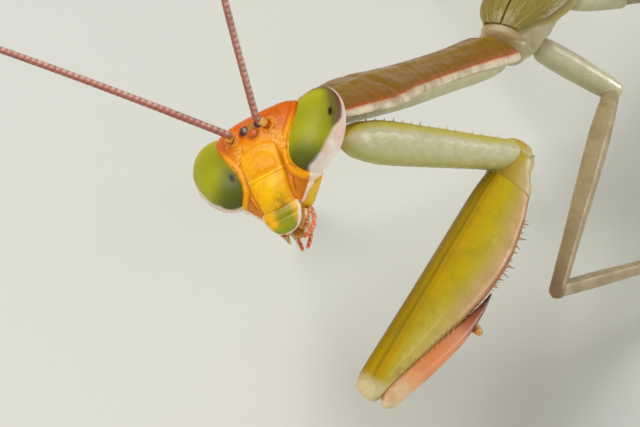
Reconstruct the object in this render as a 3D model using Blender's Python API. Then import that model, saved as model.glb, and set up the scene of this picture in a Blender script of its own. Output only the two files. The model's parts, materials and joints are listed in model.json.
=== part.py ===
"""Praying mantis, a slender adult at life size, standing with its head turned up to look ahead.

Metres, +Z up. The animal faces -Y, its left side is +X, and its feet stand on the plane Z = 0.
Sizes below are in millimetres and degrees. A direction is a (turn, rise) pair: turn runs from
straight ahead (-Y) towards the animal's left (+X), and rise runs upwards from level.
The body is a chain: waist -> prothorax -> neck -> head, waist -> thorax -> abdomen, and six legs.
"""
import math

import bmesh
import bpy
from mathutils import Matrix, Vector

MM = 0.001
JOINT_GAP = 0.08
UP = Vector((0.0, 0.0, 1.0))

# --- driving dimensions of the trunk ---------------------------------------------------------
WAIST_HEIGHT = 13.0
PRONOTUM_LENGTH = 20.0
PRONOTUM_RISE = 25.0
ABDOMEN_RISE = 5.0
THORAX_LENGTH = 8.6
ABDOMEN_LENGTH = 29.0
ABDOMEN_SEGMENTS = 6
TEGMEN_THICKNESS = 0.5
CERCUS_LENGTH = 3.2

# --- driving dimensions of the head ----------------------------------------------------------
HEAD_FROM_PRONOTUM = Vector((-0.20, -4.22, 0.55))
HEAD_TURN = -7.2
HEAD_NOD = -44.6
HEAD_TILT = -42.0
EYE_CENTRE = Vector((2.29, 0.02, -0.05))
EYE_HALF = Vector((1.44, 1.48, 1.88))
EYE_LEAN = 0.22
SOCKET_GAP = 0.07
OCELLUS_RADIUS = 0.24
OCELLI = ((0.0, -1.26, 0.62), (0.42, -1.16, 0.98), (-0.42, -1.16, 0.98))
ANTENNA_SOCKET = Vector((0.90, -1.38, 0.50))
ANTENNA_LENGTH = 27.0
ANTENNA_RADIUS = 0.25
ANTENNA_ROOT = 0.30
ANTENNA_SCAPE = 0.55
ANTENNA_STEPS = 13
ANTENNA_SWELLING = (1.45, 1.25)
NECK_START = Vector((0.0, 1.72, 0.35))
NECK_INSET = 0.12
NECK_RADII = (0.78, 0.86, 0.72)

# --- driving dimensions of the legs ----------------------------------------------------------
FORE_COXA = 13.6
FORE_FEMUR = 16.0
FORE_TARSUS = 4.2
TROCHANTER_RADIUS = 0.95
TROCHANTER_REACH = 1.9
# share of the reach, half side, depth above and below the femur's axis
TROCHANTER_RINGS = ((0.37, 0.62, 0.80, 1.50), (1.0, 0.56, 0.64, 1.76))
ANKLE_HEIGHT = 0.85
FOOT_HALF_WIDTH = 0.30
FOOT_HEIGHT = 0.55
CLAW_SPREAD = 26.0
CLAW_LENGTH = 0.95
CLAW_RADIUS = 0.13
CLAW_SIDE = 0.17
CLAW_HEIGHT = 0.27
FOOT_JOINTS = 5
# share of a foot joint's length, and its swelling there
JOINT_SWELLING = ((0.05, 0.80), (0.85, 1.0))


def direction(turn, rise):
    """Unit vector for a heading (from -Y towards +X) and a rise above level, in degrees."""
    heading = math.radians(turn)
    lift = math.radians(rise)
    level = math.cos(lift)
    return Vector((math.sin(heading) * level, -math.cos(heading) * level, math.sin(lift)))


def frame_along(forward, hint):
    """Side and top unit vectors square to a forward direction, the top leaning to the hint."""
    ahead = forward.normalized()
    top = (hint - ahead * hint.dot(ahead)).normalized()
    return top.cross(ahead), top


# --- scene, finishes and mesh makers ---------------------------------------------------------
def clear_scene():
    """Remove every object that the file opens with."""
    for old in list(bpy.data.objects):
        bpy.data.objects.remove(old, do_unlink=True)


def new_collection(name):
    """A fresh collection under the scene's own."""
    collection = bpy.data.collections.new(name)
    bpy.context.scene.collection.children.link(collection)
    return collection


def finish(name, colour, roughness):
    """A plain Principled material."""
    material = bpy.data.materials.new(name)
    material.use_nodes = True
    shader = material.node_tree.nodes["Principled BSDF"]
    shader.inputs["Base Color"].default_value = (*colour, 1.0)
    shader.inputs["Roughness"].default_value = roughness
    shader.inputs["Metallic"].default_value = 0.0
    return material


def add_part(name, bm, material, matrix=None, smooth_angle=40.0):
    """Turn a bmesh drawn in millimetres into a named object of the animal."""
    bmesh.ops.recalc_face_normals(bm, faces=bm.faces)
    bmesh.ops.scale(bm, vec=(MM, MM, MM), verts=bm.verts)
    mesh = bpy.data.meshes.new(name)
    bm.to_mesh(mesh)
    bm.free()
    mesh.shade_smooth()
    mesh.set_sharp_from_angle(angle=math.radians(smooth_angle))
    mesh.materials.append(material)
    part = bpy.data.objects.new(name, mesh)
    ANIMAL.objects.link(part)
    part.parent = BODY
    if matrix is not None:
        scaled = matrix.copy()
        scaled.translation = matrix.translation * MM
        part.matrix_basis = scaled
    return part


def oval(half_width, above, below, count, squareness=2.0):
    """Outline of a rounded section as (side, up) pairs, with its own depth above and below."""
    power = 2.0 / squareness
    points = []
    for index in range(count):
        angle = math.tau * index / count
        side = math.cos(angle)
        rise = math.sin(angle)
        depth = above if rise >= 0.0 else below
        points.append((
            half_width * math.copysign(abs(side) ** power, side),
            depth * math.copysign(abs(rise) ** power, rise),
        ))
    return points


def ring_at(centre, side, top, outline):
    """Place an outline's (side, up) pairs round a centre."""
    return [centre + side * across + top * up for across, up in outline]


def loft(rings):
    """A closed body through rings that have the same number of points."""
    bm = bmesh.new()
    loops = [[bm.verts.new(point) for point in ring] for ring in rings]
    count = len(rings[0])
    for near, far in zip(loops, loops[1:]):
        for index in range(count):
            after = (index + 1) % count
            bm.faces.new((near[index], near[after], far[after], far[index]))
    bm.faces.new(list(reversed(loops[0])))
    bm.faces.new(loops[-1])
    return bm


def loft_along(start, end, hint, stations, sides, squareness=2.0):
    """A straight limb: each station is (distance, half side, above, below) from the start."""
    ahead = (end - start).normalized()
    side, top = frame_along(ahead, hint)
    rings = []
    for distance, half_side, above, below in stations:
        outline = oval(half_side, above, below, sides, squareness)
        rings.append(ring_at(start + ahead * distance, side, top, outline))
    return loft(rings)


def limb(stations, side, sides):
    """A bent limb through (centre, half side, half depth) stations, kept square to its path."""
    rings = []
    for index, (centre, half_side, half_depth) in enumerate(stations):
        before = stations[max(index - 1, 0)][0]
        after = stations[min(index + 1, len(stations) - 1)][0]
        top = side.cross(after - before).normalized()
        rings.append(ring_at(centre, side, top, oval(half_side, half_depth, half_depth, sides)))
    return loft(rings)


def hull(points):
    """The tight convex body round a set of points."""
    bm = bmesh.new()
    verts = [bm.verts.new(point) for point in points]
    made = bmesh.ops.convex_hull(bm, input=verts)
    left_over = made["geom_interior"] + made["geom_unused"]
    spare = {item for item in left_over if isinstance(item, bmesh.types.BMVert)}
    bmesh.ops.delete(bm, geom=list(spare), context="VERTS")
    return bm


def ball_points(centre, radius, around=12, levels=7):
    """Points spread over a ball."""
    bm = bmesh.new()
    bmesh.ops.create_uvsphere(bm, u_segments=around, v_segments=levels, radius=radius)
    points = [centre + vert.co for vert in bm.verts]
    bm.free()
    return points


def between(low, high, share):
    """The value a share of the way from low to high."""
    return low + (high - low) * share


def join_onto(base, bm, name):
    """Unite the bodies of a bmesh with an object, as one solid."""
    bmesh.ops.recalc_face_normals(bm, faces=bm.faces)
    bmesh.ops.scale(bm, vec=(MM, MM, MM), verts=bm.verts)
    mesh = bpy.data.meshes.new(name)
    bm.to_mesh(mesh)
    bm.free()
    extra = bpy.data.objects.new(name, mesh)
    CUTTERS.objects.link(extra)
    extra.parent = BODY
    extra.matrix_basis = base.matrix_basis.copy()
    extra.hide_render = True
    extra.display_type = "WIRE"
    union = base.modifiers.new("join " + name, "BOOLEAN")
    union.operation = "UNION"
    union.solver = "EXACT"
    union.object = extra


def cut_from(base, bm, name):
    """Take the bodies of a bmesh out of an object."""
    join_onto(base, bm, name)
    base.modifiers["join " + name].operation = "DIFFERENCE"


# --- head ------------------------------------------------------------------------------------
def head_matrix(pronotum_front):
    """The head's own frame: x to its left, y to its nape, z to its crown."""
    turn = Matrix.Rotation(math.radians(HEAD_TURN), 4, "Z")
    nod = Matrix.Rotation(math.radians(HEAD_NOD), 4, "X")
    tilt = Matrix.Rotation(math.radians(HEAD_TILT), 4, "Y")
    return Matrix.Translation(pronotum_front + HEAD_FROM_PRONOTUM) @ turn @ nod @ tilt


# height, half width, depth of the face, depth of the nape, down the head from crown to mouth
HEAD_LEVELS = (
    (1.74, 1.10, 0.20, 0.30),
    (1.66, 1.75, 0.55, 0.70),
    (1.42, 2.20, 0.90, 1.05),
    (1.05, 2.35, 1.12, 1.28),
    (0.60, 2.36, 1.24, 1.42),
    (0.10, 2.34, 1.32, 1.48),
    (-0.45, 2.30, 1.40, 1.46),
    (-1.00, 2.34, 1.46, 1.38),
    (-1.50, 2.34, 1.48, 1.24),
    (-1.95, 2.16, 1.44, 1.08),
    (-2.40, 1.80, 1.38, 0.92),
    (-2.80, 1.42, 1.30, 0.78),
    (-3.10, 1.14, 1.20, 0.66),
)
HEAD_SIDES = 22
SHIELD_HALF_WIDTH = 0.95
SHIELD_TOP = 0.05
SHIELD_FOOT = -1.50
SHIELD_RELIEF = 0.16
CLYPEUS_RELIEF = 0.12


def face_relief(side, height):
    """How far the plates of the face stand proud of the smooth head."""
    across = max(0.0, 1.0 - (side / SHIELD_HALF_WIDTH) ** 4)
    if SHIELD_FOOT < height < SHIELD_TOP:
        return SHIELD_RELIEF * across
    if height <= SHIELD_FOOT:
        return CLYPEUS_RELIEF * across
    return 0.0


def head_capsule(matrix):
    """Skull-like shell of the head with its face plates, eye sockets and three ocelli."""
    rings = []
    for height, half_width, face, nape in HEAD_LEVELS:
        ring = []
        for side, back in oval(half_width, nape, face, HEAD_SIDES, 2.5):
            relief = face_relief(side, height) if back < 0.0 else 0.0
            ring.append(Vector((side, back - relief, height)))
        rings.append(ring)
    capsule = add_part("head_capsule", loft(rings), SHELL_ORANGE, matrix)
    sockets = bmesh.new()
    for hand in (1.0, -1.0):
        eye_ball(sockets, hand, SOCKET_GAP)
    cut_from(capsule, sockets, "eye_sockets")
    ocelli = bmesh.new()
    for place in OCELLI:
        spot = Matrix.Translation(place)
        bmesh.ops.create_uvsphere(ocelli, u_segments=8, v_segments=5, radius=OCELLUS_RADIUS, matrix=spot)
    join_onto(capsule, ocelli, "ocelli")


def eye_ball(bm, hand, extra):
    """One compound eye: a tall rounded form whose lower end leans in to the face."""
    size = Matrix.Diagonal((*(EYE_HALF + Vector((extra, extra, extra))), 1.0))
    made = bmesh.ops.create_uvsphere(bm, u_segments=17, v_segments=10, radius=1.0, matrix=size)
    for vert in made["verts"]:
        x, y, z = vert.co
        vert.co = Vector((hand * (EYE_CENTRE.x + x + EYE_LEAN * z), EYE_CENTRE.y + y, EYE_CENTRE.z + z))


def eyes(matrix):
    """Both compound eyes."""
    for name, hand in (("eye_left", 1.0), ("eye_right", -1.0)):
        bm = bmesh.new()
        eye_ball(bm, hand, 0.0)
        add_part(name, bm, EYE_GREEN, matrix)


LIP_ROOT = -3.18
# height, half width, half depth, down each mouthpart
LABRUM_LEVELS = (
    (-3.18, 0.92, 0.30),
    (-3.50, 0.86, 0.32),
    (-3.85, 0.68, 0.30),
    (-4.12, 0.42, 0.24),
    (-4.24, 0.18, 0.14),
)
MANDIBLE_LEVELS = (
    (-3.18, 0.27, 0.36),
    (-3.50, 0.288, 0.36),
    (-3.85, 0.216, 0.28),
    (-4.08, 0.09, 0.14),
)
LABIUM_LEVELS = (
    (-3.18, 0.48, 0.18),
    (-3.60, 0.50, 0.20),
    (-4.00, 0.40, 0.18),
    (-4.20, 0.20, 0.12),
)
LABRUM_DEPTH = -0.98
LABRUM_SLOPE = 0.10
MANDIBLE_SIDE = 0.62
MANDIBLE_DEPTH = -0.20
MANDIBLE_SLOPE = -0.36
LABIUM_DEPTH = 0.42


def hanging_lip(name, levels, root, slope, count, squareness, material, matrix):
    """One mouthpart hanging below the face; the slope is how far it moves per millimetre down."""
    rings = []
    for height, half_width, half_depth in levels:
        middle = root + slope * (LIP_ROOT - height)
        middle.z = height
        outline = oval(half_width, half_depth, half_depth, count, squareness)
        rings.append(ring_at(middle, Vector((1, 0, 0)), Vector((0, 1, 0)), outline))
    add_part(name, loft(rings), material, matrix)


def mouthparts(matrix):
    """Upper lip, jaws and lower lip, hanging below the face."""
    lip_root = Vector((0.0, LABRUM_DEPTH, 0.0))
    lip_slope = Vector((0.0, LABRUM_SLOPE, 0.0))
    hanging_lip("labrum", LABRUM_LEVELS, lip_root, lip_slope, 14, 2.6, SHELL_YELLOW, matrix)
    for name, hand in (("mandible_left", 1.0), ("mandible_right", -1.0)):
        root = Vector((MANDIBLE_SIDE * hand, MANDIBLE_DEPTH, 0.0))
        slope = Vector((MANDIBLE_SLOPE * hand, 0.0, 0.0))
        hanging_lip(name, MANDIBLE_LEVELS, root, slope, 10, 2.0, SHELL_AMBER, matrix)
    lower_root = Vector((0.0, LABIUM_DEPTH, 0.0))
    hanging_lip("labium", LABIUM_LEVELS, lower_root, Vector(), 12, 2.4, SHELL_AMBER, matrix)


def tube(name, points, radii, material, matrix=None, sides=3):
    """A round feeler or palp along a smooth path, as a closed mesh."""
    data = bpy.data.curves.new(name, "CURVE")
    data.dimensions = "3D"
    data.bevel_depth = MM
    data.bevel_resolution = sides
    data.use_fill_caps = True
    spline = data.splines.new("POLY")
    spline.points.add(len(points) - 1)
    for slot, point, radius in zip(spline.points, points, radii):
        slot.co = (*(point * MM), 1.0)
        slot.radius = radius
    curve = bpy.data.objects.new(name + "_path", data)
    bpy.context.scene.collection.objects.link(curve)
    bpy.context.view_layer.update()
    evaluated = curve.evaluated_get(bpy.context.evaluated_depsgraph_get())
    mesh = bpy.data.meshes.new_from_object(evaluated)
    bm = bmesh.new()
    bm.from_mesh(mesh)
    bpy.data.objects.remove(curve, do_unlink=True)
    bpy.data.meshes.remove(mesh)
    bmesh.ops.remove_doubles(bm, verts=bm.verts, dist=0.002 * MM)
    bmesh.ops.scale(bm, vec=(1.0 / MM, 1.0 / MM, 1.0 / MM), verts=bm.verts)
    return add_part(name, bm, material, matrix)


def smooth_path(controls, count):
    """Points along a Catmull-Rom curve through the control points."""
    padded = [controls[0] * 2.0 - controls[1], *controls, controls[-1] * 2.0 - controls[-2]]
    spans = len(controls) - 1
    points = []
    for index in range(count + 1):
        place = spans * index / count
        span = min(int(place), spans - 1)
        t = place - span
        p0, p1, p2, p3 = padded[span:span + 4]
        points.append(0.5 * (
            p1 * 2.0 + (p2 - p0) * t
            + (p0 * 2.0 - p1 * 5.0 + p2 * 4.0 - p3) * t ** 2
            + (p1 * 3.0 - p0 - p2 * 3.0 + p3) * t ** 3
        ))
    return points


PALP_PATHS = {
    "maxillary_palp": ((1.16, 0.18, -3.20), (1.10, 0.10, -3.75), (0.80, -0.10, -4.35), (0.42, -0.35, -4.72)),
    "labial_palp": ((0.36, 0.90, -3.40), (0.42, 0.78, -4.10), (0.28, 0.50, -4.62), (0.16, 0.20, -4.95)),
}
PALP_RADIUS = 0.22
PALP_TAPER = 0.35
PALP_STEPS = 6


def palps(matrix):
    """The two pairs of jointed palps beside and behind the lips."""
    for stem, controls in PALP_PATHS.items():
        for end, hand in (("left", 1.0), ("right", -1.0)):
            path = smooth_path([Vector((hand * x, y, z)) for x, y, z in controls], PALP_STEPS)
            shares = [index / PALP_STEPS for index in range(PALP_STEPS + 1)]
            radii = [PALP_RADIUS * (1.0 - PALP_TAPER * share ** 2) for share in shares]
            tube(f"{stem}_{end}", path, radii, SHELL_AMBER, matrix, 1)


# first and last heading of each feeler: (turn, rise)
ANTENNA_AIMS = {
    "antenna_left": (1.0, (-103.0, 79.0), (-150.0, 52.0)),
    "antenna_right": (-1.0, (-74.0, 24.0), (-84.0, 4.0)),
}


def antennae(matrix):
    """Two long thread-like feelers, each rising from its socket between the eyes."""
    face = (matrix.to_3x3() @ Vector((0.0, -1.0, 0.35))).normalized()
    for name, (hand, first_aim, last_aim) in ANTENNA_AIMS.items():
        first = direction(*first_aim)
        last = direction(*last_aim)
        socket = matrix @ Vector((hand * ANTENNA_SOCKET.x, ANTENNA_SOCKET.y, ANTENNA_SOCKET.z))
        start = socket + face * ANTENNA_ROOT
        points = [start, start + face * ANTENNA_SCAPE]
        for index in range(ANTENNA_STEPS):
            share = (index + 0.5) / ANTENNA_STEPS
            aim = (first * (1.0 - share ** 1.5) + last * share ** 1.5).normalized()
            points.append(points[-1] + aim * ANTENNA_LENGTH / ANTENNA_STEPS)
        radii = [ANTENNA_RADIUS * swelling for swelling in ANTENNA_SWELLING]
        radii += [ANTENNA_RADIUS] * ANTENNA_STEPS
        tube(name, points, radii, FEELER_RED, None, 2)


# --- trunk -----------------------------------------------------------------------------------
# distance back from the front edge, half width, height of the crown
PRONOTUM_STATIONS = (
    (0.00, 0.95, 0.30),
    (0.35, 1.30, 0.52),
    (1.20, 1.52, 0.68),
    (2.60, 1.68, 0.76),
    (4.20, 1.92, 0.86),
    (5.60, 1.86, 0.88),
    (7.40, 1.56, 0.84),
    (10.00, 1.42, 0.78),
    (13.50, 1.36, 0.76),
    (16.50, 1.44, 0.80),
    (18.60, 1.60, 0.84),
    (19.60, 1.46, 0.66),
    (19.95, 1.10, 0.36),
)
# distance back, half width, depth below the rim
PROSTERNUM_STATIONS = (
    (0.40, 0.55, 0.40),
    (1.00, 0.80, 0.62),
    (3.00, 0.86, 0.74),
    (6.00, 0.98, 0.86),
    (9.00, 1.06, 0.92),
    (13.50, 1.04, 0.90),
    (17.00, 1.08, 0.88),
    (19.00, 0.98, 0.74),
    (19.70, 0.70, 0.44),
)
RIM_THICKNESS = 0.16
KEEL_HEIGHT = 0.10
KEEL_HALF_WIDTH = 0.35


def prothorax(front, rearward):
    """The long neck shield and the plates below it."""
    side, top = frame_along(rearward, UP)
    rings = []
    for distance, half_width, crown in PRONOTUM_STATIONS:
        outline = []
        for across, up in oval(half_width, crown, RIM_THICKNESS, 14, 2.0):
            keel = KEEL_HEIGHT * max(0.0, 1.0 - abs(across) / KEEL_HALF_WIDTH) if up > 0.0 else 0.0
            outline.append((across, up + keel))
        rings.append(ring_at(front + rearward * distance, side, top, outline))
    add_part("pronotum", loft(rings), SHELL_OCHRE)
    rings = []
    for distance, half_width, depth in PROSTERNUM_STATIONS:
        outline = oval(half_width, 0.0, depth, 16)
        lowered = front + rearward * distance - top * (RIM_THICKNESS + JOINT_GAP)
        closed = [(across, min(up, -0.02)) for across, up in outline if up <= 1e-6]
        closed = [(across, up if abs(across) < half_width * 0.999 else 0.0) for across, up in closed]
        rings.append(ring_at(lowered, side, top, closed))
    add_part("prosternum", loft(rings), SHELL_CREAM)


def neck(matrix, front, rearward):
    """The soft neck between the nape and the front of the shield."""
    out = (matrix.to_3x3() @ Vector((0.0, 1.0, 0.0))).normalized()
    top = frame_along(rearward, UP)[1]
    nape = matrix @ NECK_START
    root = front - (top + rearward) * NECK_INSET
    spots = (nape, (nape + root) / 2.0, root)
    aims = (out, (out + rearward).normalized(), rearward)
    points = []
    for spot, aim, radius in zip(spots, aims, NECK_RADII):
        side, rise = frame_along(aim, UP)
        points += ring_at(spot, side, rise, oval(radius, radius, radius, 14))
    add_part("neck", hull(points), SHELL_CREAM)


# share of the length, half width, height above and depth below the axis
THORAX_STATIONS = (
    (0.02, 0.80, 0.62, 0.80),
    (0.06, 1.15, 0.86, 1.24),
    (0.18, 1.42, 1.06, 1.64),
    (0.36, 1.50, 1.18, 1.78),
    (0.49, 1.48, 1.20, 1.80),
)
METATHORAX_STATIONS = (
    (0.505, 1.48, 1.20, 1.80),
    (0.66, 1.52, 1.20, 1.80),
    (0.84, 1.50, 1.14, 1.62),
    (0.99, 1.36, 1.04, 1.12),
)


def thorax_segment(name, stations, waist, rearward):
    """One of the two wing- and leg-bearing segments behind the waist."""
    rows = [(share * THORAX_LENGTH, half, above, below) for share, half, above, below in stations]
    return add_part(name, loft_along(waist, waist + rearward, UP, rows, 14, 2.3), SHELL_TAN)


ABDOMEN_HALF_WIDTH = 1.05
ABDOMEN_SWELL = 0.62
ABDOMEN_TAPER = 0.45
ABDOMEN_TAPER_START = 0.80
ABDOMEN_FLATNESS = 0.74
# share of a segment's length, and how far the segment is flared there
SEGMENT_FLARE = ((0.0, 0.95), (0.08, 0.99), (0.92, 1.04), (1.0, 0.99))
CERCUS_SIDE = 0.45
CERCUS_SPREAD = 0.35
CERCUS_RADII = (0.27, 0.30, 0.28, 0.22, 0.14)
TAIL_ROUNDING = 0.5


def abdomen_size(share):
    """Half width and half height of the abdomen at a share of its length."""
    swell = math.sin(math.pi * min(1.0, 0.22 + 0.78 * share) ** 0.9)
    taper = max(0.0, share - ABDOMEN_TAPER_START) / (1.0 - ABDOMEN_TAPER_START)
    half_width = ABDOMEN_HALF_WIDTH + ABDOMEN_SWELL * swell - ABDOMEN_TAPER * taper
    return half_width, ABDOMEN_FLATNESS * half_width


def abdomen(waist, rearward):
    """Six ringed segments, each a little wider at its rear edge, and a pair of cerci."""
    start = waist + rearward * (THORAX_LENGTH + JOINT_GAP)
    pitch = ABDOMEN_LENGTH / ABDOMEN_SEGMENTS
    for number in range(ABDOMEN_SEGMENTS):
        rows = []
        for step, flare in SEGMENT_FLARE:
            place = between(number * pitch, (number + 1) * pitch - JOINT_GAP, step)
            half_width, half_height = abdomen_size(place / ABDOMEN_LENGTH)
            rows.append((place, half_width * flare, half_height * flare, half_height * flare))
        if number == ABDOMEN_SEGMENTS - 1:
            end, *sizes = rows.pop()
            rows.append((end - TAIL_ROUNDING, *(size * 0.9 for size in sizes)))
            rows.append((end, *(size * 0.45 for size in sizes)))
        bm = loft_along(start, start + rearward, UP, rows, 12)
        add_part(f"abdomen_segment_{number + 1}", bm, SHELL_OLIVE)
    side, top = frame_along(rearward, UP)
    tip = start + rearward * (ABDOMEN_LENGTH + 0.02)
    for name, hand in (("cercus_left", 1.0), ("cercus_right", -1.0)):
        root = tip + side * (CERCUS_SIDE * hand)
        aim = (rearward + side * (CERCUS_SPREAD * hand)).normalized()
        pitch = CERCUS_LENGTH / (len(CERCUS_RADII) - 1)
        path = [root + aim * (pitch * index) for index in range(len(CERCUS_RADII))]
        tube(name, path, CERCUS_RADII, SHELL_OLIVE, None, 2)


# distance behind the waist, half width outside, height of the ridge, how low the side reaches
TEGMEN_STATIONS = (
    (0.70, 1.20, 1.50, 1.14),
    (1.50, 1.70, 1.66, 0.96),
    (2.60, 2.00, 1.80, 0.34),
    (4.40, 2.16, 1.84, 0.00),
    (8.00, 2.22, 1.84, -0.05),
    (14.0, 2.22, 1.80, -0.05),
    (22.0, 2.30, 1.84, -0.05),
    (30.0, 2.22, 1.80, -0.02),
    (35.0, 1.90, 1.64, 0.15),
    (37.6, 1.45, 1.42, 0.45),
    (38.8, 0.80, 1.15, 0.75),
)
TEGMEN_ARC = 5
TEGMEN_MIDLINE_GAP = 0.05


def tegmina(waist, rearward):
    """The two leathery wing covers, folded as a low roof over thorax and abdomen."""
    side, top = frame_along(rearward, UP)
    for name, hand in (("tegmen_left", 1.0), ("tegmen_right", -1.0)):
        rings = []
        for distance, half_width, ridge, low in TEGMEN_STATIONS:
            outer = []
            inner = []
            for step in range(TEGMEN_ARC + 1):
                angle = math.radians(90.0) * step / TEGMEN_ARC
                across = TEGMEN_MIDLINE_GAP + (half_width - TEGMEN_MIDLINE_GAP) * math.sin(angle) ** 0.9
                up = low + (ridge - low) * math.cos(angle) ** 0.8
                outer.append((across, up))
                thin_across = max(TEGMEN_MIDLINE_GAP, across - TEGMEN_THICKNESS * math.sin(angle))
                inner.append((thin_across, up - TEGMEN_THICKNESS * math.cos(angle)))
            outline = outer + list(reversed(inner))
            centre = waist + rearward * distance
            rings.append(ring_at(centre, side * hand, top, outline))
        add_part(name, loft(rings), WING_OLIVE)


# --- forelegs --------------------------------------------------------------------------------
# coxa, femur, tarsus: (turn, rise); roll turns the femur's under edge from straight down to the
# left; shift sets the femur's root off the coxa's axis, where the two lie close together
FORELEG_POSES = {
    "left": {"hand": 1.0, "coxa": (165.6, -34.1), "femur": (0.7, -8.4), "tarsus": (-150.0, -34.0),
             "roll": 60.0, "shift": 0.0},
    "right": {"hand": -1.0, "coxa": (-148.6, -41.0), "femur": (29.4, 36.2), "tarsus": (-150.0, -36.0),
              "roll": -125.0, "shift": 1.9},
}
FORE_HIP = Vector((1.15, 0.75, -1.18))
# distance from the hip, half side, half depth
FORE_COXA_STATIONS = (
    (0.00, 0.30, 0.34),
    (0.30, 0.52, 0.60),
    (1.10, 0.66, 0.84),
    (3.00, 0.74, 1.00),
    (6.50, 0.72, 0.92),
    (10.4, 0.68, 0.80),
    (12.4, 0.68, 0.75),
    (13.6, 0.66, 0.72),
)
# distance from the root, half side, depth above and below the axis
FEMUR_STATIONS = (
    (2.00, 0.62, 0.68, 1.84),
    (3.50, 0.76, 0.78, 2.20),
    (6.00, 0.82, 0.82, 2.48),
    (7.00, 0.82, 0.83, 2.42),
    (7.70, 0.81, 0.84, 2.26),
    (9.90, 0.78, 0.87, 1.84),
    (11.3, 0.74, 0.90, 1.44),
    (12.6, 0.68, 0.93, 1.10),
    (14.0, 0.62, 0.96, 0.74),
    (15.3, 0.56, 0.98, 0.42),
    (16.1, 0.50, 0.86, 0.25),
    (16.5, 0.34, 0.58, 0.11),
)
FEMUR_SPINES = (9.0, 9.9, 10.8, 11.7, 12.6)
FEMUR_SPINE_HEIGHT = 0.55
FEMUR_SPINE_RADIUS = 0.19
FEMUR_SPINE_SINK = 0.22
FEMUR_SPINE_SIDE = 0.24
FEMUR_SPINE_SPREAD = 0.38
# distance back from the knee, depth under the femur's axis, radius
TIBIA_STATIONS = (
    (-0.32, 0.76, 0.28),
    (-0.06, 0.84, 0.42),
    (1.00, 1.02, 0.45),
    (2.20, 1.35, 0.47),
    (3.60, 1.69, 0.46),
    (4.70, 1.96, 0.43),
    (5.40, 2.11, 0.38),
    (6.10, 2.24, 0.30),
    (6.90, 2.35, 0.21),
    (7.50, 2.39, 0.14),
    (8.30, 2.41, 0.04),
)
TARSUS_ROOT = (6.00, 2.86)


def trochanter_hull(ankle, root, aim, under, swell, reach):
    """The wedge-shaped hinge between coxa and femur, as deep as the femur where they meet."""
    points = ball_points(ankle, TROCHANTER_RADIUS + swell)
    if (root - ankle).length > TROCHANTER_RADIUS:
        points += ball_points(root, TROCHANTER_RADIUS + swell)
    side = aim.cross(under).normalized()
    for share, half, above, below in TROCHANTER_RINGS:
        outline = oval(half + swell, above + swell, below + swell, 12)
        points += ring_at(root + aim * (reach * share), side, -under, outline)
    return hull(points)


def femur_under_depth(along):
    """Depth of the femur's under edge below its axis at a distance from its root."""
    for near, far in zip(FEMUR_STATIONS, FEMUR_STATIONS[1:]):
        if along <= far[0]:
            return between(near[3], far[3], (along - near[0]) / (far[0] - near[0]))
    return FEMUR_STATIONS[-1][3]


def fore_femur(name, root, knee, under):
    """The deep, compressed grasping segment with two rows of spines on its under edge."""
    ahead = (knee - root).normalized()
    femur = add_part(name, loft_along(root, knee, -under, FEMUR_STATIONS, 10, 2.3), SHELL_LIME)
    side = ahead.cross(under).normalized()
    spines = bmesh.new()
    for row_hand in (1.0, -1.0):
        for order, from_knee in enumerate(FEMUR_SPINES):
            along = FORE_FEMUR - from_knee
            edge = femur_under_depth(along)
            foot = root + ahead * along + under * (edge - FEMUR_SPINE_SINK)
            foot += side * (FEMUR_SPINE_SIDE * row_hand)
            lean = (under + side * (FEMUR_SPINE_SPREAD * row_hand) - ahead * 0.15).normalized()
            height = FEMUR_SPINE_HEIGHT * (1.2 if order % 2 else 0.85)
            add_spine(spines, foot, lean, FEMUR_SPINE_RADIUS, height)
    join_onto(femur, spines, name + "_spines")


def add_spine(bm, foot, aim, radius, height):
    """One sharp cone standing on a foot point."""
    turn = aim.to_track_quat("Z", "Y").to_matrix().to_4x4()
    place = Matrix.Translation(foot + aim * (height / 2.0)) @ turn
    bmesh.ops.create_cone(
        bm, cap_ends=True, segments=5, radius1=radius, radius2=0.03, depth=height, matrix=place,
    )


def fore_tibia(name, knee, back, under):
    """The folded tibia, ending in a long hooked claw that closes on the femur."""
    side = back.cross(under).normalized()
    stations = []
    for along, depth, radius in TIBIA_STATIONS:
        stations.append((knee + back * along + under * depth, radius * 0.9, radius))
    add_part(name, limb(stations, side, 8), SHELL_SALMON)


def fore_tarsus(name, root, under, aim):
    """The slender jointed foot, turned aside from the end of the tibia."""
    path = smooth_path([root, root + under * 0.10 + aim * 0.5, root + aim * FORE_TARSUS], 8)
    radii = [0.22 if index % 2 else 0.25 for index in range(len(path))]
    tube(name, path, radii, SHELL_AMBER, None, 1)


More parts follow.
